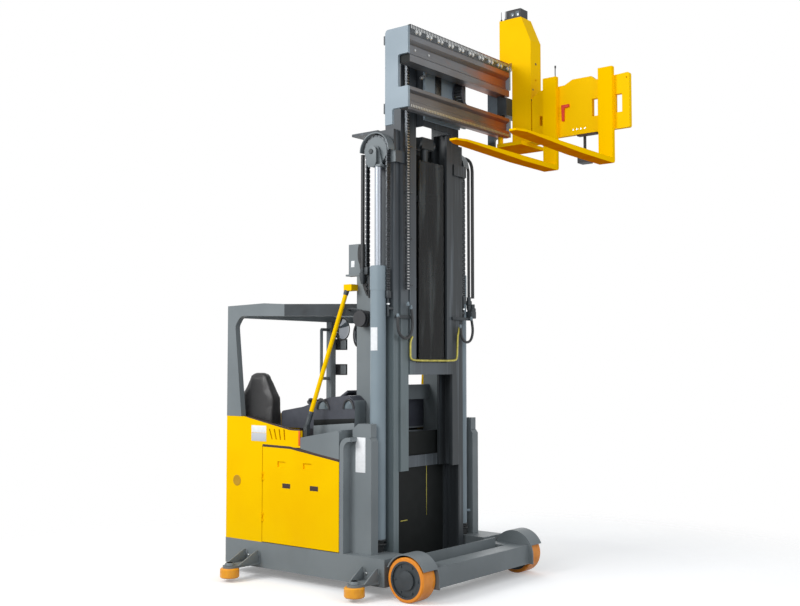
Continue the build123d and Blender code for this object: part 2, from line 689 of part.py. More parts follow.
def mast_tower():
    """The columns behind the outer mast that carry it and the guard."""
    web = outline((TOWER_REAR, CHASSIS_TOP), (TOWER_FRONT, CHASSIS_TOP),
                  (TOWER_FRONT, TOWER_TOP), (TOWER_REAR, TOWER_TOP))
    column = along_y(web, -TOWER_OUTER, -TOWER_INNER)
    column += block((TOWER_REAR - 110, TOWER_REAR + 80), (-TOWER_OUTER - 8, -TOWER_INNER),
                    (TOWER_TOP, TOWER_TOP + 14))
    column += block((TOWER_REAR - 85, TOWER_REAR + 50), (-TOWER_OUTER, -TOWER_INNER + 30),
                    (TOWER_TOP + 14, TOWER_TOP + 250))
    ties = Part()
    for z in (TOWER_TOP - 1680, TOWER_TOP - 980, TOWER_TOP - 180):
        ties += block((TOWER_REAR + 20, TOWER_REAR + 60), (-TOWER_INNER, TOWER_INNER),
                      (z, z + 120))
    return set_together(both_sides(column), ties)


def channel(front, outer, lip, low, top, depth):
    """A C section standing upright on the right side, open towards the middle."""
    back = front - depth
    y_outer = -outer
    y_web = y_outer + CHANNEL_WEB
    y_lip = y_outer + lip
    flat = Polygon((back, y_outer), (front, y_outer), (front, y_lip),
                   (front - CHANNEL_FLANGE, y_lip), (front - CHANNEL_FLANGE, y_web),
                   (back + CHANNEL_FLANGE, y_web), (back + CHANNEL_FLANGE, y_lip),
                   (back, y_lip), align=None)
    return along_z(flat, low, top)


OUTER_BACK = OUTER_FRONT - CHANNEL_DEPTH


def mast_outer():
    """The fixed stage: channels, cross members behind, foot plate and top plate."""
    channels = both_sides(channel(OUTER_FRONT, OUTER_HALF, CHANNEL_LIP, MAST_LOW, MAST_TOP,
                                  CHANNEL_DEPTH))
    ties = Part()
    cross = (OUTER_BACK - 26, OUTER_BACK)
    plate_top = MAST_LOW + 900
    for low, high in ((plate_top, plate_top + 150), (MAST_TOP - 1600, MAST_TOP - 1500),
                      (MAST_TOP - 800, MAST_TOP - 700), (MAST_TOP - 120, MAST_TOP - 10)):
        ties += block(cross, (-OUTER_HALF, OUTER_HALF), (low, high))
    ties += block((OUTER_BACK - 12, OUTER_BACK), (-OUTER_HALF, OUTER_HALF),
                  (MAST_LOW, plate_top))
    ties += block((OUTER_BACK - 265, OUTER_BACK), (-OUTER_HALF, OUTER_HALF),
                  (MAST_TOP - 10, MAST_TOP + 10))
    for z in (plate_top + 50, TOWER_TOP - 430, TOWER_TOP - 70):
        for side in (-1, 1):
            tab = sorted((side * TOWER_INNER, side * OUTER_HALF))
            ties += block((TOWER_FRONT, OUTER_BACK), tab, (z, z + 60))
    return set_together(channels, ties)


MIDDLE_BACK = MIDDLE_FRONT - STAGE_DEPTH
INNER_BACK = INNER_FRONT - STAGE_DEPTH
OUTER_INSIDE = OUTER_FRONT - CHANNEL_DEPTH / 2


def mast_middle():
    """The second stage with its cross members and rollers."""
    half = channel(MIDDLE_FRONT, MIDDLE_HALF, MIDDLE_LIP, MIDDLE_LOW, MIDDLE_TOP, STAGE_DEPTH)
    radius = CHANNEL_DEPTH / 2 - CHANNEL_FLANGE - RUNNING_GAP
    for z in (MIDDLE_LOW + 70, MIDDLE_LOW + 570):
        half += disc_y(OUTER_INSIDE, (-OUTER_HALF + CHANNEL_WEB + STAGE_GAP, -MIDDLE_HALF),
                       z, radius)
    ties = Part()
    cross = (MIDDLE_BACK - 18, MIDDLE_BACK)
    inner = MIDDLE_HALF
    for low, high in ((MIDDLE_LOW, MIDDLE_LOW + 90), (MIDDLE_LOW + 900, MIDDLE_LOW + 980),
                      (MIDDLE_TOP - 620, MIDDLE_TOP - 540), (MIDDLE_TOP - 70, MIDDLE_TOP)):
        ties += block(cross, (-inner, inner), (low, high))
    return set_together(both_sides(half), ties)


def mast_inner():
    """The third stage, with the foot that carries the free lift cylinder."""
    half = channel(INNER_FRONT, INNER_HALF, INNER_LIP, INNER_LOW, INNER_TOP, STAGE_DEPTH)
    x = MIDDLE_FRONT - STAGE_DEPTH / 2
    radius = STAGE_DEPTH / 2 - CHANNEL_FLANGE - RUNNING_GAP
    for z in (INNER_LOW + 70, INNER_LOW + 570):
        half += disc_y(x, (-MIDDLE_HALF + CHANNEL_WEB + STAGE_GAP, -INNER_HALF), z, radius)
    ties = Part()
    web = INNER_HALF - CHANNEL_WEB
    edge = INNER_HALF - INNER_LIP
    cross = (INNER_BACK, INNER_BACK + CHANNEL_FLANGE)
    for low, high in ((INNER_LOW + 695, INNER_LOW + 775), (INNER_LOW + 1395, INNER_LOW + 1475),
                      (INNER_TOP - 70, INNER_TOP)):
        ties += block(cross, (-edge, edge), (low, high))
    foot = (INNER_LOW, INNER_LOW + 95)
    ties += block((INNER_BACK, INNER_FRONT), (-edge, edge), foot)
    ties += block((INNER_BACK + CHANNEL_FLANGE, INNER_FRONT - CHANNEL_FLANGE), (-web, web), foot)
    return set_together(both_sides(half), ties)


MAST_GUARD_TOP = INNER_LOW + 1695
MAST_GUARD_HALF = round(0.583 * INNER_HALF)
FREE_HEAD_HALF = round(0.455 * MAST_GUARD_HALF)
FREE_WHEEL_HALF = round(0.606 * MAST_GUARD_HALF)
MAST_GUARD_X = INNER_FRONT - 12


def mast_guard():
    """The clear guard panel in front of the free lift cylinder."""
    panel = block((MAST_GUARD_X, MAST_GUARD_X + 8), (-MAST_GUARD_HALF, MAST_GUARD_HALF),
                  (INNER_LOW + 95, MAST_GUARD_TOP))
    for side in (-1, 1):
        strap = sorted((side * (MAST_GUARD_HALF - 5), side * (MAST_GUARD_HALF - 25)))
        panel += block((INNER_BACK + CHANNEL_FLANGE, MAST_GUARD_X), strap,
                       (MAST_GUARD_TOP - 280, MAST_GUARD_TOP - 240))
    return panel


# The lift cylinders and the upright brackets that shield their feet

BRACKET_REAR = BODY_FRONT + SEAM
BRACKET_FRONT = CYLINDER_X + 73
BRACKET_FACE = BODY_HALF - 80
BRACKET_INNER = CYLINDER_Y + 85
BRACKET_TOP = HOOD_TOP_FRONT - 50


def side_bracket():
    """A flange with a rounded head, the set-back face beside it and the cap on top."""
    low = CHASSIS_TOP + SEAT_GAP
    lip = BRACKET_REAR + 38
    flange = outline((BRACKET_REAR, low), (lip, low), (lip, BRACKET_TOP - 30, 60),
                     (lip + 66, BRACKET_TOP - 30), (lip + 66, BRACKET_TOP),
                     (BRACKET_REAR, BRACKET_TOP, 80))
    bracket = along_y(flange, -BODY_HALF, -BRACKET_FACE)
    face = outline((BRACKET_REAR, low), (BRACKET_FRONT, low), (BRACKET_FRONT, BRACKET_TOP - 28),
                   (BRACKET_FRONT - 20, BRACKET_TOP), (BRACKET_REAR, BRACKET_TOP, 80))
    bracket += along_y(face, -BRACKET_FACE, -BRACKET_INNER)
    cap = outline((BRACKET_REAR + 50, BRACKET_TOP), (BRACKET_FRONT - 15, BRACKET_TOP),
                  (BRACKET_FRONT - 15, BRACKET_TOP + 100), (BRACKET_REAR + 105, BRACKET_TOP + 100),
                  (BRACKET_REAR + 50, BRACKET_TOP + 60))
    return bracket + along_y(cap, -BRACKET_FACE + 12, -BRACKET_INNER)


def lift_cylinder():
    tube = disc_z(CYLINDER_X, -CYLINDER_Y, (CYLINDER_LOW, CYLINDER_TOP), CYLINDER_RADIUS - 3)
    tube += disc_z(CYLINDER_X, -CYLINDER_Y, (CYLINDER_TOP - 180, CYLINDER_TOP), CYLINDER_RADIUS)
    tube -= disc_z(CYLINDER_X, -CYLINDER_Y, (CYLINDER_LOW + 30, CYLINDER_TOP), ROD_RADIUS + SEAT_GAP)
    foot = block((CYLINDER_X - 45, CYLINDER_X + 45), (-CYLINDER_Y - 45, -CYLINDER_Y + 20),
                 (CHASSIS_TOP, CYLINDER_LOW))
    strap = block((CYLINDER_X - 20, CYLINDER_X + 20), (-CYLINDER_Y, -OUTER_HALF - 0.3),
                  (CYLINDER_TOP - 90, CYLINDER_TOP - 40))
    strap -= disc_z(CYLINDER_X, -CYLINDER_Y, (CYLINDER_LOW, CYLINDER_TOP), CYLINDER_RADIUS - 5)
    return tube + foot + strap


def lift_rod():
    return disc_z(CYLINDER_X, -CYLINDER_Y, (ROD_LOW, ROD_TOP), ROD_RADIUS)


CHEEK = 10
BRIDGE = (SHEAVE_Z - 90, SHEAVE_Z)


def sheave_head():
    """The chain wheel on top of a rod, its cheeks and guard, and the bridge to the mast."""
    inner = -OUTER_HALF - 6
    outer = -SHEAVE_Y - SHEAVE_WIDTH / 2 - 21
    wheel = disc_y(SHEAVE_X, (-SHEAVE_Y - SHEAVE_WIDTH / 2, -SHEAVE_Y + SHEAVE_WIDTH / 2),
                   SHEAVE_Z, SHEAVE_RADIUS)
    pin = disc_y(SHEAVE_X, (outer - 6, inner), SHEAVE_Z, 18)
    shoe = (ROD_TOP, ROD_TOP + 16)
    cheek = outline((SHEAVE_X - 40, SHEAVE_Z + 40, 38), (SHEAVE_X + 40, SHEAVE_Z + 40, 38),
                    (CYLINDER_X + 45, shoe[0]), (CYLINDER_X - 45, shoe[0]))
    head = along_y(cheek, outer, outer + CHEEK) + along_y(cheek, inner - CHEEK, inner)
    head += block((CYLINDER_X - 45, CYLINDER_X + 45), (-CYLINDER_Y - 30, inner), shoe)
    ring = Circle(SHEAVE_GUARD) - Circle(SHEAVE_GUARD - 8)
    ring -= Pos(0, -SHEAVE_GUARD) * Rectangle(2 * SHEAVE_GUARD, 2 * SHEAVE_GUARD)
    head += along_y(Pos(SHEAVE_X, SHEAVE_Z) * ring, outer, inner)
    head += block((SHEAVE_X - SHEAVE_GUARD + 2, SHEAVE_X + SHEAVE_GUARD - 2),
                  (inner - CHEEK, inner), (SHEAVE_Z - 20, SHEAVE_Z + 20))
    front = MIDDLE_FRONT + 17
    head += block((SHEAVE_X, front), (inner - CHEEK, inner), BRIDGE)
    head += block((front - 12, front), (inner - CHEEK, -MIDDLE_HALF + MIDDLE_LIP - 10), BRIDGE)
    head += block((MIDDLE_FRONT, front), (-MIDDLE_HALF + 6, -MIDDLE_HALF + 66), BRIDGE)
    return head + wheel + pin


def free_lift_tube():
    low = INNER_LOW + 95
    tube = disc_z(FREE_CYLINDER_X, 0, (low, FREE_CYLINDER_TOP), FREE_CYLINDER_RADIUS)
    return tube - disc_z(FREE_CYLINDER_X, 0, (low + 15, FREE_CYLINDER_TOP),
                         FREE_ROD_RADIUS + SEAT_GAP)


def free_lift_rod():
    rod = disc_z(FREE_CYLINDER_X, 0, (FREE_ROD_LOW, FREE_HEAD_LOW), FREE_ROD_RADIUS)
    head_top = FREE_HEAD_LOW + FREE_HEAD_HEIGHT
    rod += block((FREE_CYLINDER_X - 40, FREE_CYLINDER_X + 40),
                 (-FREE_HEAD_HALF, FREE_HEAD_HALF),
                 (FREE_HEAD_LOW, head_top))
    for side in (-1, 1):
        span = sorted((side * FREE_HEAD_HALF, side * FREE_WHEEL_HALF))
        rod += disc_y(FREE_CYLINDER_X, span, FREE_HEAD_LOW + 45, 42)
    return rod


# The lift carriage and its traverse frame

CARRIAGE_SIDE = INNER_HALF - 103
CARRIAGE_PLATE = 16
CARRIAGE_FRONT = END_PLATE_BACK - 38
MIDDLE_PLATE = (-206, 270)


def lift_carriage():
    """Side plates with rollers in the inner stage, and the plates that join them."""
    web = outline((INNER_BACK + 40, CARRIAGE_LOW), (INNER_BACK + 40, CARRIAGE_TOP),
                  (CARRIAGE_FRONT + 20, CARRIAGE_TOP), (CARRIAGE_FRONT + 20, CARRIAGE_LOW))
    half = along_y(web, -CARRIAGE_SIDE - CARRIAGE_PLATE, -CARRIAGE_SIDE)
    x = INNER_FRONT - STAGE_DEPTH / 2
    radius = STAGE_DEPTH / 2 - CHANNEL_FLANGE - RUNNING_GAP
    for z in (CARRIAGE_LOW + 70, CARRIAGE_TOP - 60):
        half += disc_y(x, (-INNER_HALF + CHANNEL_WEB + STAGE_GAP, -CARRIAGE_SIDE), z, radius)
    plates = Part()
    span = (-CARRIAGE_SIDE, CARRIAGE_SIDE)
    for low, high in ((CARRIAGE_LOW, CARRIAGE_LOW + 140), (CARRIAGE_TOP - 160, CARRIAGE_TOP)):
        plates += block((CARRIAGE_FRONT, CARRIAGE_FRONT + 20), span, (low, high))
    return set_together(both_sides(half), plates)


def traverse_frame():
    """The C-shaped end plates and the beams that hold the two rails."""
    top_beam = (TOP_RAIL[1] - 150, TOP_RAIL[1] - 58)
    low_beam = (LOW_RAIL[0] + 80, LOW_RAIL[0] + 112)
    foot = CARRIAGE_LOW - 90
    throat = RAIL_BACK + 6
    web = outline((END_PLATE_BACK, foot), (END_PLATE_BACK, TOP_RAIL[1] - 5, 30),
                  (RAIL_FRONT, TOP_RAIL[1] - 5), (RAIL_FRONT, TOP_RAIL[0] + 60),
                  (throat, TOP_RAIL[0] + 60, 15), (throat, LOW_RAIL[1], 15),
                  (RAIL_FRONT, LOW_RAIL[1]), (RAIL_FRONT, LOW_RAIL[0]),
                  (throat - 55, LOW_RAIL[0], 15), (throat - 55, foot))
    ends = both_sides(along_y(web, -RAIL_HALF, -RAIL_HALF + END_PLATE))
    span = (-RAIL_HALF + END_PLATE, RAIL_HALF - END_PLATE)
    beams = [block((END_PLATE_BACK, RAIL_BACK), span, beam) for beam in (top_beam, low_beam)]
    plate = block((CARRIAGE_FRONT + 20, END_PLATE_BACK), MIDDLE_PLATE,
                  (LOW_RAIL[0] + 20, TOP_RAIL[1] - 40))
    return set_together(ends, *beams, plate)


RACK_PITCH = 20
RACK_HEIGHT = 12
RACK_THICKNESS = 26


def rack(root, up):
    """A toothed bar along a rail, with its teeth up (1) or down (-1) from its root line."""
    end = RAIL_HALF - END_PLATE
    teeth = int(2 * end / RACK_PITCH)
    start = -teeth * RACK_PITCH / 2
    tip = root + up * RACK_HEIGHT
    corners = [(start, root - up)]
    for tooth in range(teeth):
        y = start + tooth * RACK_PITCH
        corners += [(y, root), (y + 0.3 * RACK_PITCH, tip), (y + 0.55 * RACK_PITCH, tip),
                    (y + 0.85 * RACK_PITCH, root)]
    corners += [(-start, root), (-start, root - up)]
    return along_x(Polygon(*corners, align=None), RAIL_FRONT - RACK_THICKNESS, RAIL_FRONT)


def rail_top():
    low, high = TOP_RAIL
    flat = outline((RAIL_BACK, low), (RAIL_FRONT, low), (RAIL_FRONT, low + 50),
                   (RAIL_FRONT - 35, low + 75), (RAIL_FRONT - 35, high - 130),
                   (RAIL_FRONT, high - 105), (RAIL_FRONT, high), (RAIL_BACK, high))
    return along_y(flat, -RAIL_HALF + END_PLATE, RAIL_HALF - END_PLATE) + rack(high, 1)


def rail_low():
    low, high = LOW_RAIL
    flat = outline((RAIL_BACK, low), (RAIL_FRONT, low), (RAIL_FRONT, low + 45),
                   (RAIL_FRONT - 30, low + 60), (RAIL_FRONT - 30, high - 40),
                   (RAIL_FRONT, high - 25), (RAIL_FRONT, high), (RAIL_BACK, high))
    return along_y(flat, -RAIL_HALF + END_PLATE, RAIL_HALF - END_PLATE) + rack(low, -1)


# The traversing head

ARM_HALF = 40
KNUCKLE = (COLUMN_LOW + 80, COLUMN_LOW + 340)
PIN_RADIUS = 20
COLUMN_BORE = 9
COLUMN_BORE_DEPTH = 40
COLUMN_BORE_Z = COLUMN_LOW + 530
EAR_BORE = 6
EAR_X = SWIVEL_X + PLATE_HALF - 22
EAR_Z = PLATE_TOP - 25


def head_column():
    """The yellow column with its overhanging top and the swivel arm."""
    side = outline((COLUMN_BACK, COLUMN_LOW), (COLUMN_FRONT, COLUMN_LOW),
                   (COLUMN_FRONT, COLUMN_TOP - 220), (COLUMN_FRONT - 93, COLUMN_TOP), (OVERHANG_BACK, COLUMN_TOP),
                   (OVERHANG_BACK, OVERHANG_LOW), (COLUMN_BACK, OVERHANG_LOW))
    column = along_y(side, HEAD_Y - COLUMN_HALF - 10, HEAD_Y + COLUMN_HALF - 10)
    column += block((COLUMN_FRONT, SWIVEL_X), (HEAD_Y - ARM_HALF, HEAD_Y + ARM_HALF), KNUCKLE)
    column += disc_z(SWIVEL_X, HEAD_Y, KNUCKLE, ARM_HALF)
    column -= disc_z(SWIVEL_X, HEAD_Y, KNUCKLE, PIN_RADIUS + RUNNING_FIT)
    bore = (COLUMN_FRONT - COLUMN_BORE_DEPTH, COLUMN_FRONT)
    return column - disc_x(bore, HEAD_Y - 10, COLUMN_BORE_Z, COLUMN_BORE)


def head_carrier():
    """The tongue that slides between the rails, and the rollers under the lower rail."""
    reach = (HEAD_Y - 180, HEAD_Y + 180)
    tongue = (COLUMN_BACK - 90, COLUMN_BACK)
    gap = (LOW_RAIL[1], TOP_RAIL[0])
    carrier = block(tongue, reach, (gap[0] + 20, gap[1] - 20))
    pad = (tongue[0], RAIL_FRONT - 45)
    for y in ((reach[0], reach[0] + 70), (reach[1] - 70, reach[1])):
        carrier += block(pad, y, (gap[0] + SEAT_GAP, gap[1] - SEAT_GAP))
    foot = block((RAIL_BACK + 20, COLUMN_FRONT - 40), reach, (COLUMN_LOW - 30, COLUMN_LOW))
    for y in (reach[0] + 25, reach[1] - 25):
        foot += disc_z(RAIL_BACK + 40, y, (COLUMN_LOW, LOW_RAIL[0] - SEAT_GAP), 22)
    return carrier + foot


def head_camera():
    return block((-105, 40), (HEAD_Y - 60, HEAD_Y + 50), (COLUMN_TOP, COLUMN_TOP + 85))


def fork_plate():
    """The fork carriage plate with its slots, and the lugs that hold the swivel pin."""
    left = SWIVEL_X - PLATE_HALF
    right = SWIVEL_X + PLATE_HALF
    flat = outline((left, PLATE_LOW), (right, PLATE_LOW, 15), (right, PLATE_TOP + 15, 15),
                   (SWIVEL_X + 150, PLATE_TOP), (SWIVEL_X + 110, PLATE_TOP + 35),
                   (SWIVEL_X - 60, PLATE_TOP + 35), (SWIVEL_X - 130, PLATE_TOP),
                   (left + 80, PLATE_TOP - 10), (left, PLATE_TOP - 60))
    plate = along_y(flat, PLATE_FACE, PLATE_FACE + PLATE_THICKNESS)
    for x, wide, foot, tall in ((-352, 26, 118, 80), (140, 50, 128, 140), (346, 60, 128, 145)):
        plate -= block((SWIVEL_X + x - wide / 2, SWIVEL_X + x + wide / 2),
                       (PLATE_FACE, PLATE_FACE + PLATE_THICKNESS),
                       (PLATE_LOW + foot, PLATE_LOW + foot + tall))
    for low, high in ((PLATE_LOW + 10, KNUCKLE[0] - 6), (KNUCKLE[1] + 6, PLATE_TOP - 10)):
        plate += block((SWIVEL_X - 38, SWIVEL_X + 38), (PLATE_FACE + PLATE_THICKNESS, HEAD_Y),
                       (low, high))
        plate += disc_z(SWIVEL_X, HEAD_Y, (low, high), 38)
    plate += disc_z(SWIVEL_X, HEAD_Y, (PLATE_LOW + 10, PLATE_TOP - 10), PIN_RADIUS)
    plate -= disc_y(EAR_X, (PLATE_FACE, PLATE_FACE + PLATE_THICKNESS), EAR_Z, EAR_BORE)
    return plate


def fork(middle):
    """An L-shaped fork that hangs on the plate and tapers to its tip."""
    heel = PLATE_FACE - FORK_THICKNESS
    side = outline((PLATE_FACE, FORK_LOW, 25), (PLATE_FACE, FORK_TOP), (heel, FORK_TOP),
                   (heel, FORK_LOW + FORK_THICKNESS, 12), (FORK_TIP, FORK_LOW + FORK_THICKNESS),
                   (FORK_TIP, FORK_LOW + FORK_THICKNESS - 14), (heel - 500, FORK_LOW))
    body = along_x(side, middle - FORK_WIDTH / 2, middle + FORK_WIDTH / 2)
    clip = 35
    for sign in (-1, 1):
        edge = middle + sign * FORK_WIDTH / 2
        body -= along_z(Polygon((edge, FORK_TIP - 1), (edge, FORK_TIP + 90),
                                (edge - sign * clip, FORK_TIP - 1), align=None),
                        FORK_LOW - 10, FORK_LOW + FORK_THICKNESS + 10)
    return body


def fork_camera():
    low = PLATE_LOW - 132
    post = disc_z(SWIVEL_X, HEAD_Y, (low, PLATE_LOW + 10), 12)
    return post + block((SWIVEL_X - 45, SWIVEL_X + 45), (HEAD_Y - 45, HEAD_Y + 45),
                        (low - 90, low))


# The tie struts

def tie_strut():
    top = (TOWER_REAR - 45, -TOWER_OUTER - 58, TOWER_TOP - 95)
    foot = (COWL_END + 25, 45 - BODY_HALF, HOOD_TOP_REAR + 80)
    strut = bar(foot, top, 17)
    deck = HOOD_TOP_REAR + (foot[0] + 20 - COWL_END) * HOOD_SLOPE
    strut += block((foot[0] - 20, foot[0] + 20), (foot[1] - 18, foot[1] + 18),
                   (deck + SEAT_GAP, foot[2] + 15))
    strut += block((top[0] - 25, top[0] + 55), (top[1] - 20, -TOWER_OUTER),
                   (top[2] - 25, top[2] + 25))
    return strut


treads = front_wheel()
drive = drive_unit()
NODES = {
    "chassis_frame": chassis_frame(),
    "front_tread_right": treads[0],
    "front_hub_right": treads[1],
    "front_tread_left": other_side(treads[0]),
    "front_hub_left": other_side(treads[1]),
    "drive_yoke": drive[0],
    "drive_tread": drive[1],
    "drive_hub": drive[2],
    "body_side_right": body_side_right(),
    "body_side_left": body_side_left(),
    "rear_panel": rear_panel(),
    "door_right": door_right(),
    "door_left": door_left(),
    "hood": hood(),
    "cab_tub": cab_tub(),
    "battery": battery(),
    "console": console(),
    "steering_pod": steering_pod(),
    "steering_wheel": steering_wheel(),
    "seat_base": seat_base(),
    "seat_cushion": seat_cushion(),
    "seat_back": seat_back(),
    "overhead_guard": overhead_guard(),
    "slim_post": slim_post(),
    "lamps": lamps(),
    "mirrors": mirrors(),
    "mast_tower": mast_tower(),
    "mast_outer": mast_outer(),
    "mast_middle": mast_middle(),
    "mast_inner": mast_inner(),
    "mast_guard": mast_guard(),
    "side_brackets": both_sides(side_bracket()),
    "lift_cylinders": both_sides(lift_cylinder()),
    "lift_rods": both_sides(lift_rod()),
    "sheave_heads": both_sides(sheave_head()),
    "free_lift_tube": free_lift_tube(),
    "free_lift_rod": free_lift_rod(),
    "lift_carriage": lift_carriage(),
    "traverse_frame": traverse_frame(),
    "rail_top": rail_top(),
    "rail_low": rail_low(),
    "head_column": head_column(),
    "head_carrier": head_carrier(),
    "head_camera": head_camera(),
    "fork_plate": fork_plate(),
    "fork_near": fork(SWIVEL_X - FORK_SPREAD),
    "fork_far": fork(SWIVEL_X + FORK_SPREAD),
    "fork_camera": fork_camera(),
    "tie_struts": both_sides(tie_strut()),
    "guide_brackets": both_sides(guide_bracket("rear") + guide_bracket("front")),
}
for place in GUIDE_ROLLERS:
    NODES["guide_roller_" + place + "_right"] = guide_roller(place)
    NODES["guide_roller_" + place + "_left"] = other_side(guide_roller(place))

boxes = [shape.bounding_box() for shape in NODES.values()]
shift = Vector(-(min(b.min.X for b in boxes) + max(b.max.X for b in boxes)) / 2,
               -(min(b.min.Y for b in boxes) + max(b.max.Y for b in boxes)) / 2,
               -min(b.min.Z for b in boxes))
print("moved by", [round(value, 3) for value in shift])

os.makedirs("parts", exist_ok=True)
for name, shape in NODES.items():
    export_step(Pos(*shift) * shape, "parts/" + name + ".step")
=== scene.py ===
import math

import bmesh
import bpy
from mathutils import Matrix, Vector


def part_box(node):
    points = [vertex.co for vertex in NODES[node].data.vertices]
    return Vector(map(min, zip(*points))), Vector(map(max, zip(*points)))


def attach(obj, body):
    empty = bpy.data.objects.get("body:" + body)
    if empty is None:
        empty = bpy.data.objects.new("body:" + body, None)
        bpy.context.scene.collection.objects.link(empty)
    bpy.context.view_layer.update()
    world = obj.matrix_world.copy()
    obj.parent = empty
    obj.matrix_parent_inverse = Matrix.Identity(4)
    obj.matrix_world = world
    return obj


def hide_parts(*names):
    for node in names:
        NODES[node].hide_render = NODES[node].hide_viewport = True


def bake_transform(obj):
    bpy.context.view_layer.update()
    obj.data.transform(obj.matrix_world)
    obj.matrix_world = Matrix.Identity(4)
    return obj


# The looks of the tri-lateral stacker. Metres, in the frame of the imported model.

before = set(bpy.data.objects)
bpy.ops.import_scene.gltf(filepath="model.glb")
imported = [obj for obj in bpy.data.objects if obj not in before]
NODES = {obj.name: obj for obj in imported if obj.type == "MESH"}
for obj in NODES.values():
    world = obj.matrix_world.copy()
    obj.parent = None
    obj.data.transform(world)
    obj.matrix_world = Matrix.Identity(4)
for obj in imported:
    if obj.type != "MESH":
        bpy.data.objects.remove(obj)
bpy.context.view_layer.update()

# Driving places, read from the frame
HUB_LOW, HUB_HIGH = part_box("front_hub_right")
AXLE_X = (HUB_LOW[0] + HUB_HIGH[0]) / 2
AXLE_Z = (HUB_LOW[2] + HUB_HIGH[2]) / 2
WHEEL_FACE = -HUB_LOW[1]
PANEL_INSET = 0.016
SIDE = -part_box("body_side_right")[0][1] - PANEL_INSET
RAIL_LOW, RAIL_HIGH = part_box("rail_top")
LOWER_RAIL_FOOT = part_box("rail_low")[0][2]
PLATE_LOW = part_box("fork_plate")[0]
DOME_DEPTH = 0.0136
DOME_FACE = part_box("mirrors")[0][0] + DOME_DEPTH

# Driving places, from the front axle and the floor
SHEAVE_X, SHEAVE_Y, SHEAVE_Z = -0.505, 0.50, 3.33
CHAIN_TOP = SHEAVE_Z - 0.01
HOSE_TOP = 3.32
WEB_X = -0.535
CYLINDER_X, CYLINDER_Y = -0.464, 0.535
HOSE_X = -0.322
FLANGE_IN, FLANGE_OUT = 0.266, 0.283

SIDES = ((-1, "right"), (1, "left"))
FORWARD, RIGHTWARD, LEFTWARD, UPWARD = (1, 0, 0), (0, -1, 0), (0, 1, 0), (0, 0, 1)


def at(x, y, z):
    """A place given from the floor below the middle of the front axle."""
    return Vector((x + AXLE_X, y, z))


def from_axle(outline):
    """A side outline of (X, Z) points, with X given from the front axle."""
    return [(AXLE_X + x, z) for x, z in outline]


def span(side, near, far):
    """The low and the high Y of a stretch between two distances from the middle."""
    return sorted((side * near, side * far))


# The camera of the photograph

CAMERA_PLACE = at(4.713, -6.798, 1.68)
CAMERA_TURN = 38.396
CAMERA_RISE = 3.33
CAMERA_LENS = 48.0
SENSOR_WIDTH = 36


def camera():
    data = bpy.data.cameras.new("photo_view")
    data.lens = CAMERA_LENS
    data.sensor_width = SENSOR_WIDTH
    eye = bpy.data.objects.new("photo_view", data)
    eye.location = CAMERA_PLACE
    eye.rotation_euler = (math.radians(90 + CAMERA_RISE), 0, math.radians(CAMERA_TURN))
    bpy.context.collection.objects.link(eye)
    bpy.context.scene.camera = eye


# Finishes

def tone(red, green, blue):
    """A colour as it looks on a screen, 0 to 255, as the linear colour a shader takes."""
    def linear(value):
        value /= 255
        return value / 12.92 if value <= 0.04045 else ((value + 0.055) / 1.055) ** 2.4
    return (linear(red), linear(green), linear(blue), 1)


class Wire:
    """A number or colour that varies over a surface, with its maths written as Python."""

    def __init__(self, board, socket):
        self.board = board
        self.socket = socket

    def maths(self, operation, first, second):
        return self.board.node("ShaderNodeMath", {"operation": operation}, {0: first, 1: second})[0]

    def __add__(self, other):
        return self.maths("ADD", self, other)

    def __radd__(self, other):
        return self.maths("ADD", other, self)

    def __sub__(self, other):
        return self.maths("SUBTRACT", self, other)

    def __rsub__(self, other):
        return self.maths("SUBTRACT", other, self)

    def __mul__(self, other):
        return self.maths("MULTIPLY", self, other)

    def __rmul__(self, other):
        return self.maths("MULTIPLY", other, self)

    def over(self, low, high):
        """0 up to low, 1 from high, and a straight ramp between."""
        inputs = {"Value": self, "From Min": low, "From Max": high}
        return self.board.node("ShaderNodeMapRange", {"clamp": True}, inputs)[0]


class Board:
    """A node tree whose nodes all come from one method."""

    def __init__(self, tree):
        self.tree = tree
        self.tree.nodes.clear()

    def feed(self, socket, value):
        if isinstance(value, Wire):
            self.tree.links.new(value.socket, socket)
        else:
            socket.default_value = value

    def node(self, kind, settings, inputs):
        """Add a node, set its settings first and then its sockets; returns its outputs."""
        made = self.tree.nodes.new(kind)
        for key, value in settings.items():
            setattr(made, key, value)
        for key, value in inputs.items():
            self.feed(made.inputs[key], value)
        return [Wire(self, socket) for socket in made.outputs]

    def rays(self, *kinds):
        """1 for rays of the kinds that are named, 0 for the rest."""
        path = {wire.socket.name: wire for wire in self.node("ShaderNodeLightPath", {}, {})}
        seen = path[kinds[0]]
        for kind in kinds[1:]:
            seen = seen.maths("MAXIMUM", seen, path[kind])
        return seen


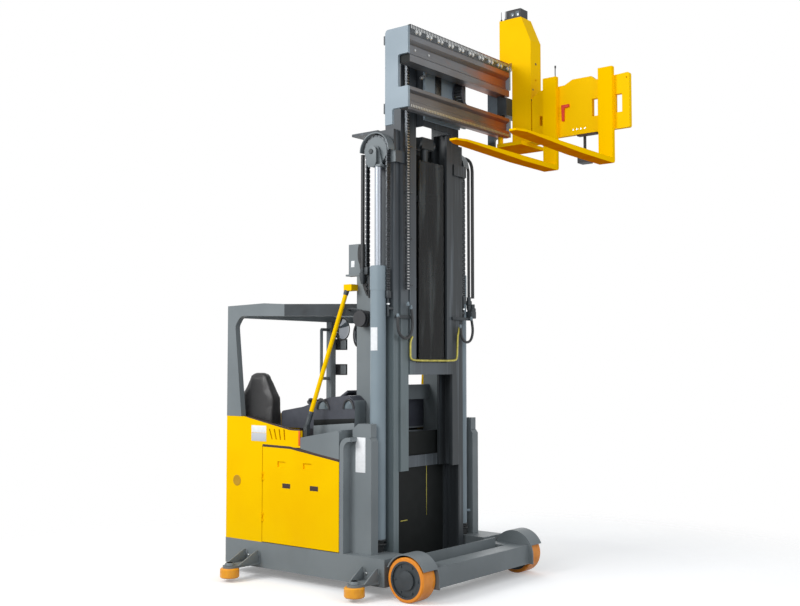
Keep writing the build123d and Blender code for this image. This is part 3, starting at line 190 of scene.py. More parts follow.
class Finish(Board):
    """One material, built from expressions."""

    def __init__(self, name):
        self.material = bpy.data.materials.new(name)
        self.material.use_nodes = True
        super().__init__(self.material.node_tree)
        self.shader = self.tree.nodes.new("ShaderNodeBsdfPrincipled")
        out = self.tree.nodes.new("ShaderNodeOutputMaterial")
        self.tree.links.new(self.shader.outputs[0], out.inputs[0])
        self.colour = None

    def spot(self):
        """A point's place in the frame of the model."""
        return self.node("ShaderNodeTexCoord", {}, {})[3]

    def place(self, stretch=(1, 1, 1)):
        return self.node("ShaderNodeVectorMath", {"operation": "MULTIPLY"},
                         {0: self.spot(), 1: stretch})[0]

    def noise(self, scale, detail=3, stretch=(1, 1, 1)):
        inputs = {"Vector": self.place(stretch), "Scale": scale, "Detail": detail}
        return self.node("ShaderNodeTexNoise", {}, inputs)[0]

    def cells(self, scale, feature):
        inputs = {"Vector": self.place(), "Scale": scale}
        return self.node("ShaderNodeTexVoronoi", {"feature": feature}, inputs)[0]

    def spread(self):
        """How far a point is from the middle of its piece."""
        return self.node("ShaderNodeVectorMath", {"operation": "LENGTH"}, {0: self.spot()})[1]

    def along(self, axis):
        """The place along X, Y or Z, numbered 0 to 2, in the frame of the model."""
        return self.node("ShaderNodeSeparateXYZ", {}, {0: self.spot()})[axis]

    def height(self):
        return self.along(2)

    def under(self):
        """1 on faces that look down, 0 on walls and tops."""
        facing = self.node("ShaderNodeNewGeometry", {}, {})[1]
        up = self.node("ShaderNodeSeparateXYZ", {}, {0: facing})[2]
        return (0 - up).over(0.2, 0.8)

    def mix(self, mask, first, second):
        return self.node("ShaderNodeMix", {"data_type": "RGBA"}, {0: mask, 6: first, 7: second})[2]

    def coat(self, *coats):
        """Lay coats over the colour so far, each given by its mask and its screen tone."""
        for mask, colour in coats:
            self.colour = self.mix(mask, self.colour, tone(*colour))

    def bump(self, height, strength, distance=0.001):
        inputs = {"Height": height, "Strength": strength, "Distance": distance}
        return self.node("ShaderNodeBump", {}, inputs)[0]

    def paint(self, **sockets):
        """Set the shader's colour and the sockets that are named."""
        self.feed(self.shader.inputs["Base Color"], self.colour)
        for name, value in sockets.items():
            self.feed(self.shader.inputs[name.replace("_", " ")], value)
        return self.material


def mottled(name, colour, other, scale, detail=3, stretch=(1, 1, 1), ramp=None, share=None):
    """A finish whose colour wanders between two screen tones, and the pattern that it follows."""
    finish = Finish(name)
    pattern = finish.noise(scale, detail, stretch)
    mask = pattern.over(*ramp) if ramp else pattern
    if share:
        mask = mask * share
    finish.colour = tone(*colour)
    finish.coat((mask, other))
    return finish, pattern


def enamel(name, colour, dull, rough=0.42, dirt=0.10, gloss=0.04, shine=0.28, extra_coat=None):
    """Sprayed paint: slight mottling, orange peel, dust low down, and one more coat if one is
    given: grease on the cylinders, painted shade under the traverse frame's lower rail.
    """
    finish, patches = mottled(name, colour, dull, 2.4, ramp=(0.40, 0.70))
    roughness = patches * 0.10 + rough
    if dirt:
        dust = (1 - finish.height().over(0.05, 0.6)) * finish.noise(5, 4).over(0.35, 0.8) * dirt
        finish.coat((dust, (112, 108, 102)))
        roughness = roughness + dust * 0.8
    # The extra coat is a real stain on the cylinders and painted shade on the traverse frame.
    if extra_coat:
        finish.coat(extra_coat(finish))
    return finish.paint(Roughness=roughness, Specular_IOR_Level=shine,
                        Coat_Weight=gloss, Coat_Roughness=0.2,
                        Normal=finish.bump(finish.noise(420, 2), 0.06, 0.0005))


def yellow_enamel():
    return enamel("yellow_enamel", (255, 203, 0), (252, 196, 0), 0.45, 0.04, 0.0, 0.02)


def fork_enamel():
    """The yellow of the forks, orange-brown under the blades as painted shade, and worn through to
    the orange-brown primer towards the near side.
    """
    finish, rust = mottled("fork_enamel", (255, 152, 0), (250, 126, 0), 12, 4, ramp=(0.3, 0.75))
    primer_and_painted_shade = finish.colour
    # Faces that look down take the orange-brown colour as painted shade.
    base = finish.mix(finish.under(), tone(255, 200, 0), primer_and_painted_shade)
    wear = finish.noise(4, 4, (1, 0.4, 1)).over(0.52, 0.75) * 0.5
    finish.colour = finish.mix(wear * (1 - finish.along(1).over(-0.7, -0.1)), base, primer_and_painted_shade)
    return finish.paint(Roughness=rust.over(0.3, 0.75) * 0.1 + 0.42, Specular_IOR_Level=0.0)


def body_grey():
    return enamel("body_grey", (122, 129, 132), (112, 119, 122))


def mast_grey():
    """Grey paint, darker high up, painted shade on the far side, painted light low on the near
    side, and bright upright lines partly rubbed by the rollers and partly painted highlight.
    """
    finish, _ = mottled("mast_grey", (96, 103, 109), (86, 92, 98), 1.6, stretch=(1, 1, 0.35),
                        ramp=(0.35, 0.7))
    # Painted light low on the near side, and painted shade on the far side.
    painted_light_near_low = (1 - finish.along(1).over(-0.30, -0.22)) * (1 - finish.height().over(1.9, 2.3)) * 0.6
    high_up = finish.height().over(1.7, 2.7) * 0.75
    painted_shade_far_side = finish.along(1).over(0.05, 0.30) * 0.8
    # Bright upright streaks: partly rubbed metal, partly painted highlight.
    highlight_streak = finish.noise(34, 3, (1, 1, 0.03)).over(0.56, 0.70) * 0.3
    grease = finish.noise(5, 4, (1, 1, 0.25)).over(0.62, 0.80) * 0.35
    finish.coat((painted_light_near_low, (122, 136, 138)), (high_up, (62, 66, 70)), (painted_shade_far_side, (44, 48, 50)),
                (highlight_streak, (138, 148, 156)), (grease, (48, 50, 48)))
    return finish.paint(Roughness=0.46 - highlight_streak * 0.3 - grease * 0.25,
                        Metallic=highlight_streak * 0.6, Specular_IOR_Level=0.32, Coat_Weight=0.05,
                        Normal=finish.bump(finish.noise(380, 2), 0.06, 0.0005))


def frame_grey():
    """The light grey of the traverse frame, with painted shade under the lower rail."""
    def oil_and_painted_shade(finish):
        # Painted shade: dark under the lower rail, where the rail shades the frame.
        low = (1 - finish.height().over(3.55, 3.58)) * finish.along(1).over(-0.62, -0.60)
        return low * 0.85, (40, 44, 46)
    return enamel("frame_grey", (142, 156, 166), (132, 146, 156), dirt=0, gloss=0.1, extra_coat=oil_and_painted_shade)


def cylinder_grey():
    """Smooth light grey, black with grease at the foot joint."""
    def grease(finish):
        return 1 - finish.height().over(0.372, 0.378), (30, 33, 35)
    return enamel("cylinder_grey", (136, 150, 158), (126, 140, 148), dirt=0, gloss=0.1,
                  extra_coat=grease)


def milled_steel():
    """Drawn and milled steel with brown oil film and straight tool lines."""
    finish, film = mottled("milled_steel", (112, 115, 120), (92, 86, 84), 3.4, 5,
                           (1, 0.5, 1), (0.36, 0.74))
    lines = finish.noise(240, 3, (1, 0.02, 1))
    warm = (finish.along(1) * 0.8 + finish.noise(5, 5, (1, 0.5, 1.6)) * 1.5).over(0.75, 1.25)
    finish.coat((warm * 0.85, (166, 84, 32)), (lines.over(0.45, 0.7) * 0.3, (132, 130, 128)))
    return finish.paint(Metallic=0.6, Roughness=film * 0.2 + 0.30,
                        Normal=finish.bump(lines, 0.18, 0.0006))


def bright_steel():
    finish, grain = mottled("bright_steel", (204, 206, 206), (160, 163, 165), 180, ramp=(0.4, 0.8))
    return finish.paint(Metallic=0.9, Roughness=grain * 0.2 + 0.2)


def ground_chrome():
    finish, haze = mottled("ground_chrome", (158, 164, 172), (146, 152, 160), 60, stretch=(1, 1, 4))
    return finish.paint(Metallic=0.7, Roughness=haze * 0.1 + 0.34, Specular_IOR_Level=0.3)


def cast_rubber():
    """Orange polyurethane with a dull running band and fine scratches."""
    finish, grime = mottled("cast_rubber", (240, 146, 24), (206, 112, 16), 16, 5,
                            ramp=(0.35, 0.8), share=0.5)
    marks = finish.noise(120, 4, (1, 0.1, 1))
    return finish.paint(Roughness=grime.over(0.35, 0.8) * 0.2 + 0.40,
                        Coat_Weight=0.12, Subsurface_Weight=0.05,
                        Normal=finish.bump(marks, 0.22, 0.0008))


def roller_rubber():
    finish, grime = mottled("roller_rubber", (243, 166, 22), (222, 132, 12), 24, 5,
                            ramp=(0.35, 0.8), share=0.6)
    return finish.paint(Roughness=grime.over(0.35, 0.8) * 0.2 + 0.34,
                        Coat_Weight=0.2, Normal=finish.bump(finish.noise(150), 0.15, 0.0006))


def cast_iron():
    finish, _ = mottled("cast_iron", (62, 68, 72), (44, 48, 51), 11, 4, ramp=(0.3, 0.8))
    return finish.paint(Metallic=0.25, Roughness=0.52,
                        Normal=finish.bump(finish.noise(210, 4), 0.35))


def chain_steel():
    finish, oil_and_painted_shade = mottled("chain_steel", (92, 96, 100), (40, 42, 44), 90, ramp=(0.35, 0.75))
    return finish.paint(Metallic=0.8, Roughness=oil_and_painted_shade * 0.25 + 0.24,
                        Normal=finish.bump(oil_and_painted_shade, 0.2, 0.0005))


def grained_plastic(name, colour, rough):
    """Moulded plastic with a fine pebble grain."""
    shade = tuple(value + 14 for value in colour)
    finish, _ = mottled(name, colour, shade, 14, ramp=(0.3, 0.8))
    grain = finish.cells(620, "SMOOTH_F1")
    return finish.paint(Roughness=grain * 0.15 + rough, Normal=finish.bump(grain, 0.25, 0.0006))


def grained_black():
    return grained_plastic("grained_black", (34, 35, 38), 0.5)


def moulded_grey():
    return grained_plastic("moulded_grey", (54, 57, 66), 0.44)


def hose_rubber():
    """Black hose with a faint braid."""
    finish, _ = mottled("hose_rubber", (30, 31, 33), (52, 54, 56), 20)
    braid = finish.node("ShaderNodeTexWave", {"wave_type": "BANDS", "bands_direction": "DIAGONAL"},
                        {"Vector": finish.place(), "Scale": 160, "Distortion": 0.6})[1]
    return finish.paint(Roughness=0.5, Normal=finish.bump(braid, 0.25, 0.0006))


def seat_vinyl():
    finish, crease = mottled("seat_vinyl", (28, 27, 29), (13, 13, 15), 16, 4, ramp=(0.3, 0.75))
    grain = finish.cells(330, "DISTANCE_TO_EDGE")
    relief = grain.over(0.0, 0.12) * 0.7 + crease * 0.5
    return finish.paint(Roughness=crease * 0.18 + 0.28, Sheen_Weight=0.15,
                        Normal=finish.bump(relief, 0.35, 0.0009))


def zinc_yellow():
    finish, film = mottled("zinc_yellow", (196, 186, 92), (158, 150, 76), 30, 4, ramp=(0.35, 0.7))
    return finish.paint(Metallic=0.85, Roughness=film * 0.2 + 0.22)


def blank_plate(name, colour):
    """A bare plate, slightly faded."""
    finish, _ = mottled(name, colour, (206, 208, 208), 40, ramp=(0.35, 0.8), share=0.4)
    return finish.paint(Roughness=0.42, Normal=finish.bump(finish.noise(300, 2), 0.05, 0.0003))


def blank_white():
    return blank_plate("blank_white", (240, 242, 244))


def blank_grey():
    return blank_plate("blank_grey", (196, 199, 204))


def dark_recess():
    # This dark brown is also painted shade: on the sheet behind the vent slots, in the grip wells
    # and in the column's holes.
    finish, _ = mottled("dark_recess", (58, 30, 16), (40, 22, 12), 30)
    return finish.paint(Roughness=0.6)


def edge_rubber():
    # Also the painted shadow line along the crown of the yellow sides.
    finish, _ = mottled("edge_rubber", (56, 30, 18), (36, 22, 16), 50)
    return finish.paint(Roughness=0.55, Normal=finish.bump(finish.noise(220, 2), 0.2, 0.0005))


def orange_paint():
    return enamel("orange_edge", (240, 112, 20), (226, 96, 14))


def ochre_paint():
    return enamel("ochre_cap", (196, 150, 22), (176, 132, 18))


def red_paint():
    return enamel("latch_red", (226, 60, 28), (204, 48, 20))


def lamp_lens():
    finish = Finish("lamp_lens")
    flutes = finish.node("ShaderNodeTexWave", {}, {"Vector": finish.place(), "Scale": 90})[1]
    finish.colour = finish.mix(flutes, tone(224, 228, 232), tone(196, 202, 208))
    return finish.paint(Roughness=0.1, Coat_Weight=0.8, Metallic=0.35,
                        Normal=finish.bump(flutes, 0.4))


def mirror_face():
    finish, haze = mottled("mirror_face", (150, 154, 160), (126, 130, 136), 8)
    return finish.paint(Metallic=1.0, Roughness=haze * 0.08 + 0.06)


def display_face():
    finish, _ = mottled("display_face", (58, 72, 80), (112, 128, 136), 22)
    return finish.paint(Roughness=0.16, Coat_Weight=0.7)


def smoked_sheet():
    """The clear, slightly smoked guard panel in front of the free lift cylinder."""
    finish, smear = mottled("smoked_sheet", (10, 12, 12), (24, 28, 28), 6, 4, (1, 1, 0.4))
    # Lighter upright streaks on the sheet are painted highlights.
    highlight_streak = finish.noise(9, 2, (1, 1, 0.12)).over(0.56, 0.66)
    finish.coat((highlight_streak * 0.7, (84, 90, 90)))
    finish.material.surface_render_method = "BLENDED"
    return finish.paint(Roughness=smear * 0.1 + 0.08, Alpha=smear * 0.1 + 0.55,
                        Specular_IOR_Level=0.25)


def deep_shade():
    """Near-black painted shade inside the mast, on the upper rail's ends and in the band under the
    console.
    """
    finish, _ = mottled("deep_shade", (15, 18, 18), (25, 28, 28), 9, 4, ramp=(0.3, 0.8))
    return finish.paint(Roughness=0.6, Specular_IOR_Level=0.2)


def floor_white():
    """The floor: white where it is seen, darker to bounced light, and fading out far away."""
    finish = Finish("floor_white")
    seen = finish.rays("Is Camera Ray", "Is Glossy Ray")
    finish.colour = finish.mix(seen, (0.30, 0.30, 0.30, 1), (0.93, 0.93, 0.93, 1))
    lift = finish.mix(seen, (0, 0, 0, 1), (0.22, 0.22, 0.22, 1))
    return finish.paint(Roughness=0.8, Specular_IOR_Level=0.1, Emission_Color=lift,
                        Emission_Strength=1, Alpha=1 - finish.spread().over(2.3, 4.4))


# Each paint's maker, its slot in the record, and the nodes that wear it
FINISHES = {
    "yellow": (yellow_enamel, "yellow_paint", "body_side_right body_side_left rear_panel "
               "door_right door_left tie_struts head_column fork_plate"),
    "fork": (fork_enamel, "yellow_paint", "fork_near fork_far"),
    "orange": (orange_paint, "yellow_paint", ""),
    "red": (red_paint, "yellow_paint", ""),
    "ochre": (ochre_paint, "yellow_paint", ""),
    "grey": (body_grey, "grey_paint", "chassis_frame hood cab_tub overhead_guard slim_post "
             "mast_tower guide_brackets side_brackets sheave_heads"),
    "white": (blank_white, "grey_paint", ""),
    "silver": (blank_grey, "grey_paint", ""),
    "mast": (mast_grey, "mast_paint", "mast_outer mast_middle mast_inner lift_carriage"),
    "cylinder": (cylinder_grey, "cylinder_paint", "lift_cylinders"),
    "frame": (frame_grey, "cylinder_paint", "traverse_frame"),
    "rail": (milled_steel, "rail_steel", "rail_top rail_low"),
    "chain": (chain_steel, "rail_steel", ""),
    "zinc": (zinc_yellow, "rail_steel", ""),
    "bright": (bright_steel, "rod_chrome", ""),
    "chrome": (ground_chrome, "rod_chrome", "lift_rods"),
    "mirror": (mirror_face, "rod_chrome", ""),
    "tread": (cast_rubber, "tread_orange", "front_tread_right front_tread_left drive_tread"),
    "roller": (roller_rubber, "tread_orange", "guide_roller_rear_right guide_roller_rear_left "
               "guide_roller_front_right guide_roller_front_left"),
    "iron": (cast_iron, "hub_charcoal", "front_hub_right front_hub_left drive_hub drive_yoke "
             "head_carrier free_lift_tube free_lift_rod"),
    "black": (grained_black, "black_plastic", "battery seat_base steering_wheel head_camera "
              "fork_camera lamps mirrors"),
    "hose": (hose_rubber, "black_plastic", ""),
    "recess": (dark_recess, "black_plastic", ""),
    "seal": (edge_rubber, "black_plastic", ""),
    "shade": (deep_shade, "black_plastic", ""),
    "display": (display_face, "black_plastic", ""),
    "moulded": (moulded_grey, "dash_plastic", "console steering_pod"),
    "vinyl": (seat_vinyl, "seat_leather", "seat_cushion seat_back"),
    "lens": (lamp_lens, "clear_panel", ""),
    "smoked": (smoked_sheet, "clear_panel", "mast_guard"),
}
PAINTS = {paint: maker() for paint, (maker, _, _) in FINISHES.items()}


def repaint(name, paint, where):
    """Give some faces of a node a second paint; where says which, by centre and normal."""
    mesh = NODES[name].data
    mesh.materials.append(PAINTS[paint])
    for face in mesh.polygons:
        if where(face.center, face.normal):
            face.material_index = len(mesh.materials) - 1


def paint_nodes():
    """Each node's own paint, and the second paints on some of its faces."""
    for paint, (_, _, nodes) in FINISHES.items():
        for name in nodes.split():
            mesh = NODES[name].data
            mesh.materials.clear()
            mesh.materials.append(PAINTS[paint])
    dash_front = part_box("console")[1].x
    strut_foot, carrier_tray, web_top, wheel_arms = 1.27, 3.56, 1.2, 0.468
    web = at(WEB_X, 0, 0).x
    repaint("console", "grey", lambda spot, facing: spot.x > dash_front - 0.02 and facing.x > 0.3)
    repaint("tie_struts", "iron", lambda spot, facing: spot.z < strut_foot)
    # Painted shade: the guard's faces turned to the front right, away from the light, take the dark
    # iron paint.
    repaint("overhead_guard", "iron", lambda spot, facing: facing.x > 0.4 and facing.y < -0.4)
    repaint("head_carrier", "fork", lambda spot, facing: spot.z < carrier_tray)
    # Painted shade: the outer stage's web, low down, takes the near-black shade paint.
    repaint("mast_outer", "shade", lambda spot, facing: facing.x > 0.9 and spot.z < web_top
            and abs(spot.x - web) < 0.004)
    # Painted shade: the upper rail's ends take the near-black shade paint.
    repaint("rail_top", "shade", lambda spot, facing: facing.y < -0.5)
    repaint("sheave_heads", "mast", lambda spot, facing: abs(spot.y) < wheel_arms)


# Shapes

class Form:
    """One piece of the scene, put together from closed shapes in one mesh."""

    def __init__(self, name, body, paint):
        self.name = name
        self.body = body
        self.paint = paint
        self.mesh = bmesh.new()

    def take(self, other):
        """Join a finished bmesh to this one."""
        data = bpy.data.meshes.new("part")
        other.to_mesh(data)
        other.free()
        self.mesh.from_mesh(data)
        bpy.data.meshes.remove(data)

    def box(self, low, high, soft=0.002, turn=None):
        low, high = Vector(low), Vector(high)
        size = high - low
        made = bmesh.new()
        bmesh.ops.create_cube(made, size=1, matrix=Matrix.Diagonal((*size, 1)))
        soft = min(soft, min(size) * 0.45)
        if soft > 0:
            bmesh.ops.bevel(made, geom=made.edges[:], offset=soft, segments=2, profile=0.5,
                            affect="EDGES")
        place = Matrix.Translation((low + high) / 2)
        bmesh.ops.transform(made, matrix=place @ (turn or Matrix()), verts=made.verts)
        self.take(made)

    def lathe(self, start, axis, profile, steps=32, squash=None):
        """Turn a profile of (distance along the axis, radius) round an axis."""
        turn = Vector(axis).normalized().to_track_quat("Z", "Y").to_matrix().to_4x4()
        made = bmesh.new()
        rings = []
        for along, radius in profile:
            angles = [2 * math.pi * step / steps for step in range(steps)] if radius else [0]
            ring = [(radius * math.cos(angle), radius * math.sin(angle), along) for angle in angles]
            rings.append([made.verts.new(point) for point in ring])
        for lower, upper in zip(rings, rings[1:]):
            for step in range(steps):
                after = (step + 1) % steps
                corners = [lower[step % len(lower)], lower[after % len(lower)],
                           upper[after % len(upper)], upper[step % len(upper)]]
                corners = list(dict.fromkeys(corners))
                if len(corners) > 2:
                    made.faces.new(corners)
        for ring in (rings[0][::-1], rings[-1]):
            if len(ring) > 2:
                made.faces.new(ring)
        place = Matrix.Translation(Vector(start)) @ turn @ (squash or Matrix())
        bmesh.ops.transform(made, matrix=place, verts=made.verts)
        bmesh.ops.recalc_face_normals(made, faces=made.faces)
        self.take(made)

    def rod(self, start, end, radius, steps=16):
        """A round bar with eased ends."""
        start, end = Vector(start), Vector(end)
        length = (end - start).length
        ease = min(0.001, radius * 0.4, length * 0.4)
        self.lathe(start, end - start, [(0, radius - ease), (ease, radius),
                                        (length - ease, radius), (length, radius - ease)], steps)

    def prism(self, outline, axis, low, high, soft=0.0015):
        """A flat outline pushed along X, Y or Z, given by its other two coordinates."""
        made = bmesh.new()
        order = {"x": (2, 0, 1), "y": (0, 2, 1), "z": (0, 1, 2)}[axis]

        def corner(flat, depth):
            values = (flat[0], flat[1], depth)
            return [values[place] for place in order]

        lower = [made.verts.new(corner(flat, low)) for flat in outline]
        upper = [made.verts.new(corner(flat, high)) for flat in outline]
        made.faces.new(lower[::-1])
        made.faces.new(upper)
        count = len(outline)
        for step in range(count):
            after = (step + 1) % count
            made.faces.new((lower[step], lower[after], upper[after], upper[step]))
        bmesh.ops.recalc_face_normals(made, faces=made.faces)
        if soft > 0:
            rims = [edge for edge in made.edges if edge.calc_face_angle(0) > math.radians(40)]
            bmesh.ops.bevel(made, geom=rims, offset=min(soft, abs(high - low) * 0.4), segments=2,
                            profile=0.5, affect="EDGES")
        self.take(made)

    def bolt(self, place, axis, size):
        """A washer and a hexagon head, standing on a face."""
        self.lathe(place, axis, [(0, size * 1.25), (size * 0.2, size * 1.25)], 20)
        self.lathe(place, axis, [(size * 0.2, size), (size * 0.75, size),
                                 (size * 0.9, size * 0.8)], 6)

    def pipe(self, points, radius, fineness=2):
        """A round tube along the smooth curve that points from the front axle give."""
        curve = bpy.data.curves.new("route", "CURVE")
        curve.dimensions = "3D"
        curve.bevel_depth = radius
        curve.bevel_resolution = fineness
        curve.use_fill_caps = True
        curve.resolution_u = 8
        line = curve.splines.new("NURBS")
        line.points.add(len(points) - 1)
        for spot, point in zip(line.points, points):
            spot.co = (*at(*point), 1)
        line.order_u = 3
        line.use_endpoint_u = True
        holder = bpy.data.objects.new("route", curve)
        data = bpy.data.meshes.new_from_object(holder)
        self.mesh.from_mesh(data)
        bpy.data.objects.remove(holder)
        bpy.data.curves.remove(curve)
        bpy.data.meshes.remove(data)

    def mirrored(self):
        """Add the same shapes on the other side of the machine."""
        twin = self.mesh.copy()
        bmesh.ops.transform(twin, matrix=Matrix.Diagonal((1, -1, 1, 1)), verts=twin.verts)
        bmesh.ops.reverse_faces(twin, faces=twin.faces)
        self.take(twin)
        return self

    def done(self, sharp=35, rides=True):
        """Make the object, smooth but for edges sharper than an angle, and set it on its body."""
        limit = math.radians(sharp)
        for face in self.mesh.faces:
            face.smooth = True
        for edge in self.mesh.edges:
            edge.smooth = edge.calc_face_angle(0) < limit
        data = bpy.data.meshes.new(self.name)
        self.mesh.to_mesh(data)
        self.mesh.free()
        piece = bpy.data.objects.new(self.name, data)
        bpy.context.collection.objects.link(piece)
        data.materials.append(PAINTS[self.paint])
        if rides:
            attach(piece, self.body)
        return piece


def slab(name, body, paint, low, high, soft=0.001):
    """A piece that is one soft-edged plate."""
    plate = Form(name, body, paint)
    plate.box(low, high, soft)
    plate.done()


def arc(centre, radius, start, end, steps):
    """Points on an arc, in degrees."""
    points = []
    for step in range(steps + 1):
        angle = math.radians(start + (end - start) * step / steps)
        points.append((centre[0] + radius * math.cos(angle), centre[1] + radius * math.sin(angle)))
    return points


# Running gear

def wheel_caps():
    """The turned cap and its ring of bolts on each front wheel."""
    count, circle, recess = 6, 0.102, 0.014
    for side, name in SIDES:
        body = "front_wheel_" + name
        face = side * WHEEL_FACE
        axis = (0, side, 0)
        cap = Form("axle_cap_" + name, body, "iron")
        cap.lathe((AXLE_X, face - side * 0.002, AXLE_Z), axis,
                  [(0, 0.066), (0.003, 0.066), (0.0035, 0.058), (0.0055, 0.05), (0.006, 0.04),
                   (0.0068, 0.036), (0.007, 0)], 48)
        cap.done()
        bolts = Form("wheel_bolts_" + name, body, "iron")
        for x, z in arc((AXLE_X, AXLE_Z), circle, 0, 300, count - 1):
            bolts.bolt((x, face - side * recess, z), axis, 0.008)
        bolts.done()


def guide_arms():
    """Gussets, bolt heads and the cast boss on each guide roller's bracket."""
    rollers = ((-1.55, 1.03), (-0.32, 0.97))
    skirt_y, foot = -0.795, 0.124
    cast = Form("guide_castings", "chassis", "grey")
    heads = Form("guide_bolts", "chassis", "bright")
    for x, y in rollers:
        cast.lathe(at(x, -y, 0.1253), UPWARD, [(0, 0.04), (0.012, 0.036), (0.02, 0.03)], 28)
        for shift in (-0.07, 0.07):
            root = at(x + shift, skirt_y, 0)
            flat = [(root.y, foot), (root.y, 0.215), (root.y - 0.02, 0.215), (-y + 0.02, foot)]
            cast.prism(flat, "x", root.x - 0.006, root.x + 0.006)
            heads.bolt(at(x + shift * 0.55, skirt_y, 0.168), RIGHTWARD, 0.0095)
    cast.mirrored().done()
    heads.mirrored().done()


# Body panels

def vent_shade_sheet():
    """A dark sheet behind the slots of the yellow side panel, painted shade for the dark inside
    them.
    """
    slab("vent_shade_sheet", "chassis", "recess", at(-1.41, -SIDE + 0.0265, 1.109),
         at(-1.17, -SIDE + 0.030, 1.184), 0.0005)


def side_plates():
    """The blank plates and the round cap on the yellow side, and the plate on the bracket."""
    rear, front = -1.579, -1.412
    back = -SIDE + 0.001
    slab("side_plate_silver", "chassis", "silver", at(rear, -SIDE - 0.0018, 1.074),
         at(front, back, 1.139), 0.0008)
    plate = Form("side_plate_white", "chassis", "white")
    plate.box(at(rear, -SIDE - 0.002, 1.141), at(front, back, 1.198), 0.0008)
    plate.box(at(-0.543, -0.7018, 0.88), at(-0.447, -0.6995, 1.14), 0.0008)
    plate.done()
    cap = Form("side_round_cap", "chassis", "ochre")
    cap.lathe(at(-1.743, back, 0.748), RIGHTWARD,
              [(0, 0.044), (0.004, 0.043), (0.006, 0.036), (0.0045, 0.03), (0.005, 0)], 40)
    cap.done()


def door_trim():
    """The dark seal over the doors, and the grips with their rims; each grip's well is a flush dark
    plate of painted shade.
    """
    top = [(-1.452, 1.052), (-1.15, 1.047), (-0.64, 0.974)]
    under = [(x, z - 0.019) for x, z in reversed(top)]
    seal = Form("door_seal", "chassis", "seal")
    seal.prism(from_axle(top + under), "y", -SIDE - 0.001, -SIDE + 0.012, 0.0008)
    seal.done()
    low, high, half, lip = 0.721, 0.757, 0.042, 0.004
    bars = ((-half, half, high - lip, high), (-half, half, low, low + lip),
            (-half, lip - half, low, high), (half - lip, half, low, high))
    grips = {"right": (-1.187, -0.893), "left": (-0.79,)}
    for side, name in SIDES:
        # The wells are flush dark plates, painted shade for each grip's recess.
        wells = Form("grip_wells_" + name, "door_" + name, "recess")
        rims = Form("grip_rims_" + name, "door_" + name, "seal")
        for x in grips[name]:
            inner, outer = span(side, SIDE - 0.001, SIDE + 0.0008)
            wells.box(at(x - 0.038, inner, 0.724), at(x + 0.038, outer, 0.754), 0.0004)
            inner, outer = span(side, SIDE - 0.001, SIDE + 0.0018)
            for rear, front, foot, crown in bars:
                rims.box(at(x + rear, inner, foot), at(x + front, outer, crown), 0.0006)
        wells.done()
        rims.done()


def top_trim():
    """A painted shadow line where the yellow side meets the console, and the orange edge."""
    crown = [(-1.64, 1.2605), (-1.62, 1.2577), (-1.186, 1.1786), (-1.15, 1.1736), (-1.114, 1.172),
             (-1.045, 1.172)]
    outline = [(x, z + 0.009) for x, z in crown] + [(x, z - 0.001) for x, z in reversed(crown)]
    # The crown line is a painted shadow in the dark seal paint.
    line = Form("crown_shadow_line", "chassis", "seal")
    line.prism(from_axle(outline), "y", -SIDE, -SIDE + 0.03, 0.0008)
    line.mirrored().done()
    slab("orange_edge", "chassis", "orange", at(-1.060, -SIDE - 0.0015, 1.056),
         at(-1.040, -SIDE + 0.004, 1.170))


# The cab

def dash_skirt():
    """The grey skirt under the console, and the band of painted shade above it."""
    rear, front, inner = -1.065, -0.642, -0.5985
    skirt = [(rear, 1.12), (front, 1.12), (front, 1.238), (rear, 1.204)]
    # The band above the skirt is painted shade.
    band = [(rear, 1.2045), (front, 1.2385), (front, 1.272), (rear, 1.25)]
    for name, paint, outer, outline in (("console_skirt", "grey", -0.6035, skirt),
                                        ("console_band", "shade", -0.6025, band)):
        piece = Form(name, "chassis", paint)
        piece.prism(from_axle(outline), "y", outer, inner, 0.0008)
        piece.mirrored().done()


def dash_fittings():
    """Displays with their frames, lever knobs, and the dials under their visors."""
    screens = Form("console_screens", "chassis", "display")
    frames = Form("console_screen_frames", "chassis", "moulded")
    tilt = Matrix.Rotation(math.radians(-32), 4, "Y")
    x, half, lip = -0.93, 0.055, 0.011
    for y, wide in ((-0.33, 0.15), (-0.10, 0.17), (0.14, 0.15)):
        screens.box(at(x - half, y - wide / 2, 1.440), at(x + half, y + wide / 2, 1.452), 0.002,
                    tilt)
        frames.box(at(x - half - lip, y - wide / 2 - lip, 1.426),
                   at(x + half + lip, y + wide / 2 + lip, 1.447), 0.005, tilt)
    screens.done()
    frames.done()
    knob = Form("lever_knob", "chassis", "black")
    for x, y in ((-1.21, -0.48), (-1.14, -0.44)):
        knob.lathe(at(x, y, 1.345), UPWARD, [(0, 0.012), (0.004, 0.007), (0.036, 0.006),
                   (0.042, 0.016), (0.055, 0.022), (0.066, 0.018), (0.071, 0)], 24)
    knob.done()
    hood = Form("console_visors", "chassis", "black")
    glass = Form("console_dials", "chassis", "display")
    for x, wide, foot in ((-0.965, 0.062, 1.335), (-0.70, 0.052, 1.345)):
        crest = [(x - wide, foot), (x - wide * 0.9, foot + 0.045), (x, foot + 0.078),
                 (x + wide * 0.9, foot + 0.045), (x + wide, foot)]
        hood.pipe([(u, -0.604, v) for u, v in crest], 0.009)
        face = [(u * 0.8 + x * 0.2, v * 0.8 + foot * 0.2) for u, v in crest]
        glass.prism(from_axle(face), "y", -0.6035, -0.599, 0.001)
    hood.done()
    glass.done()


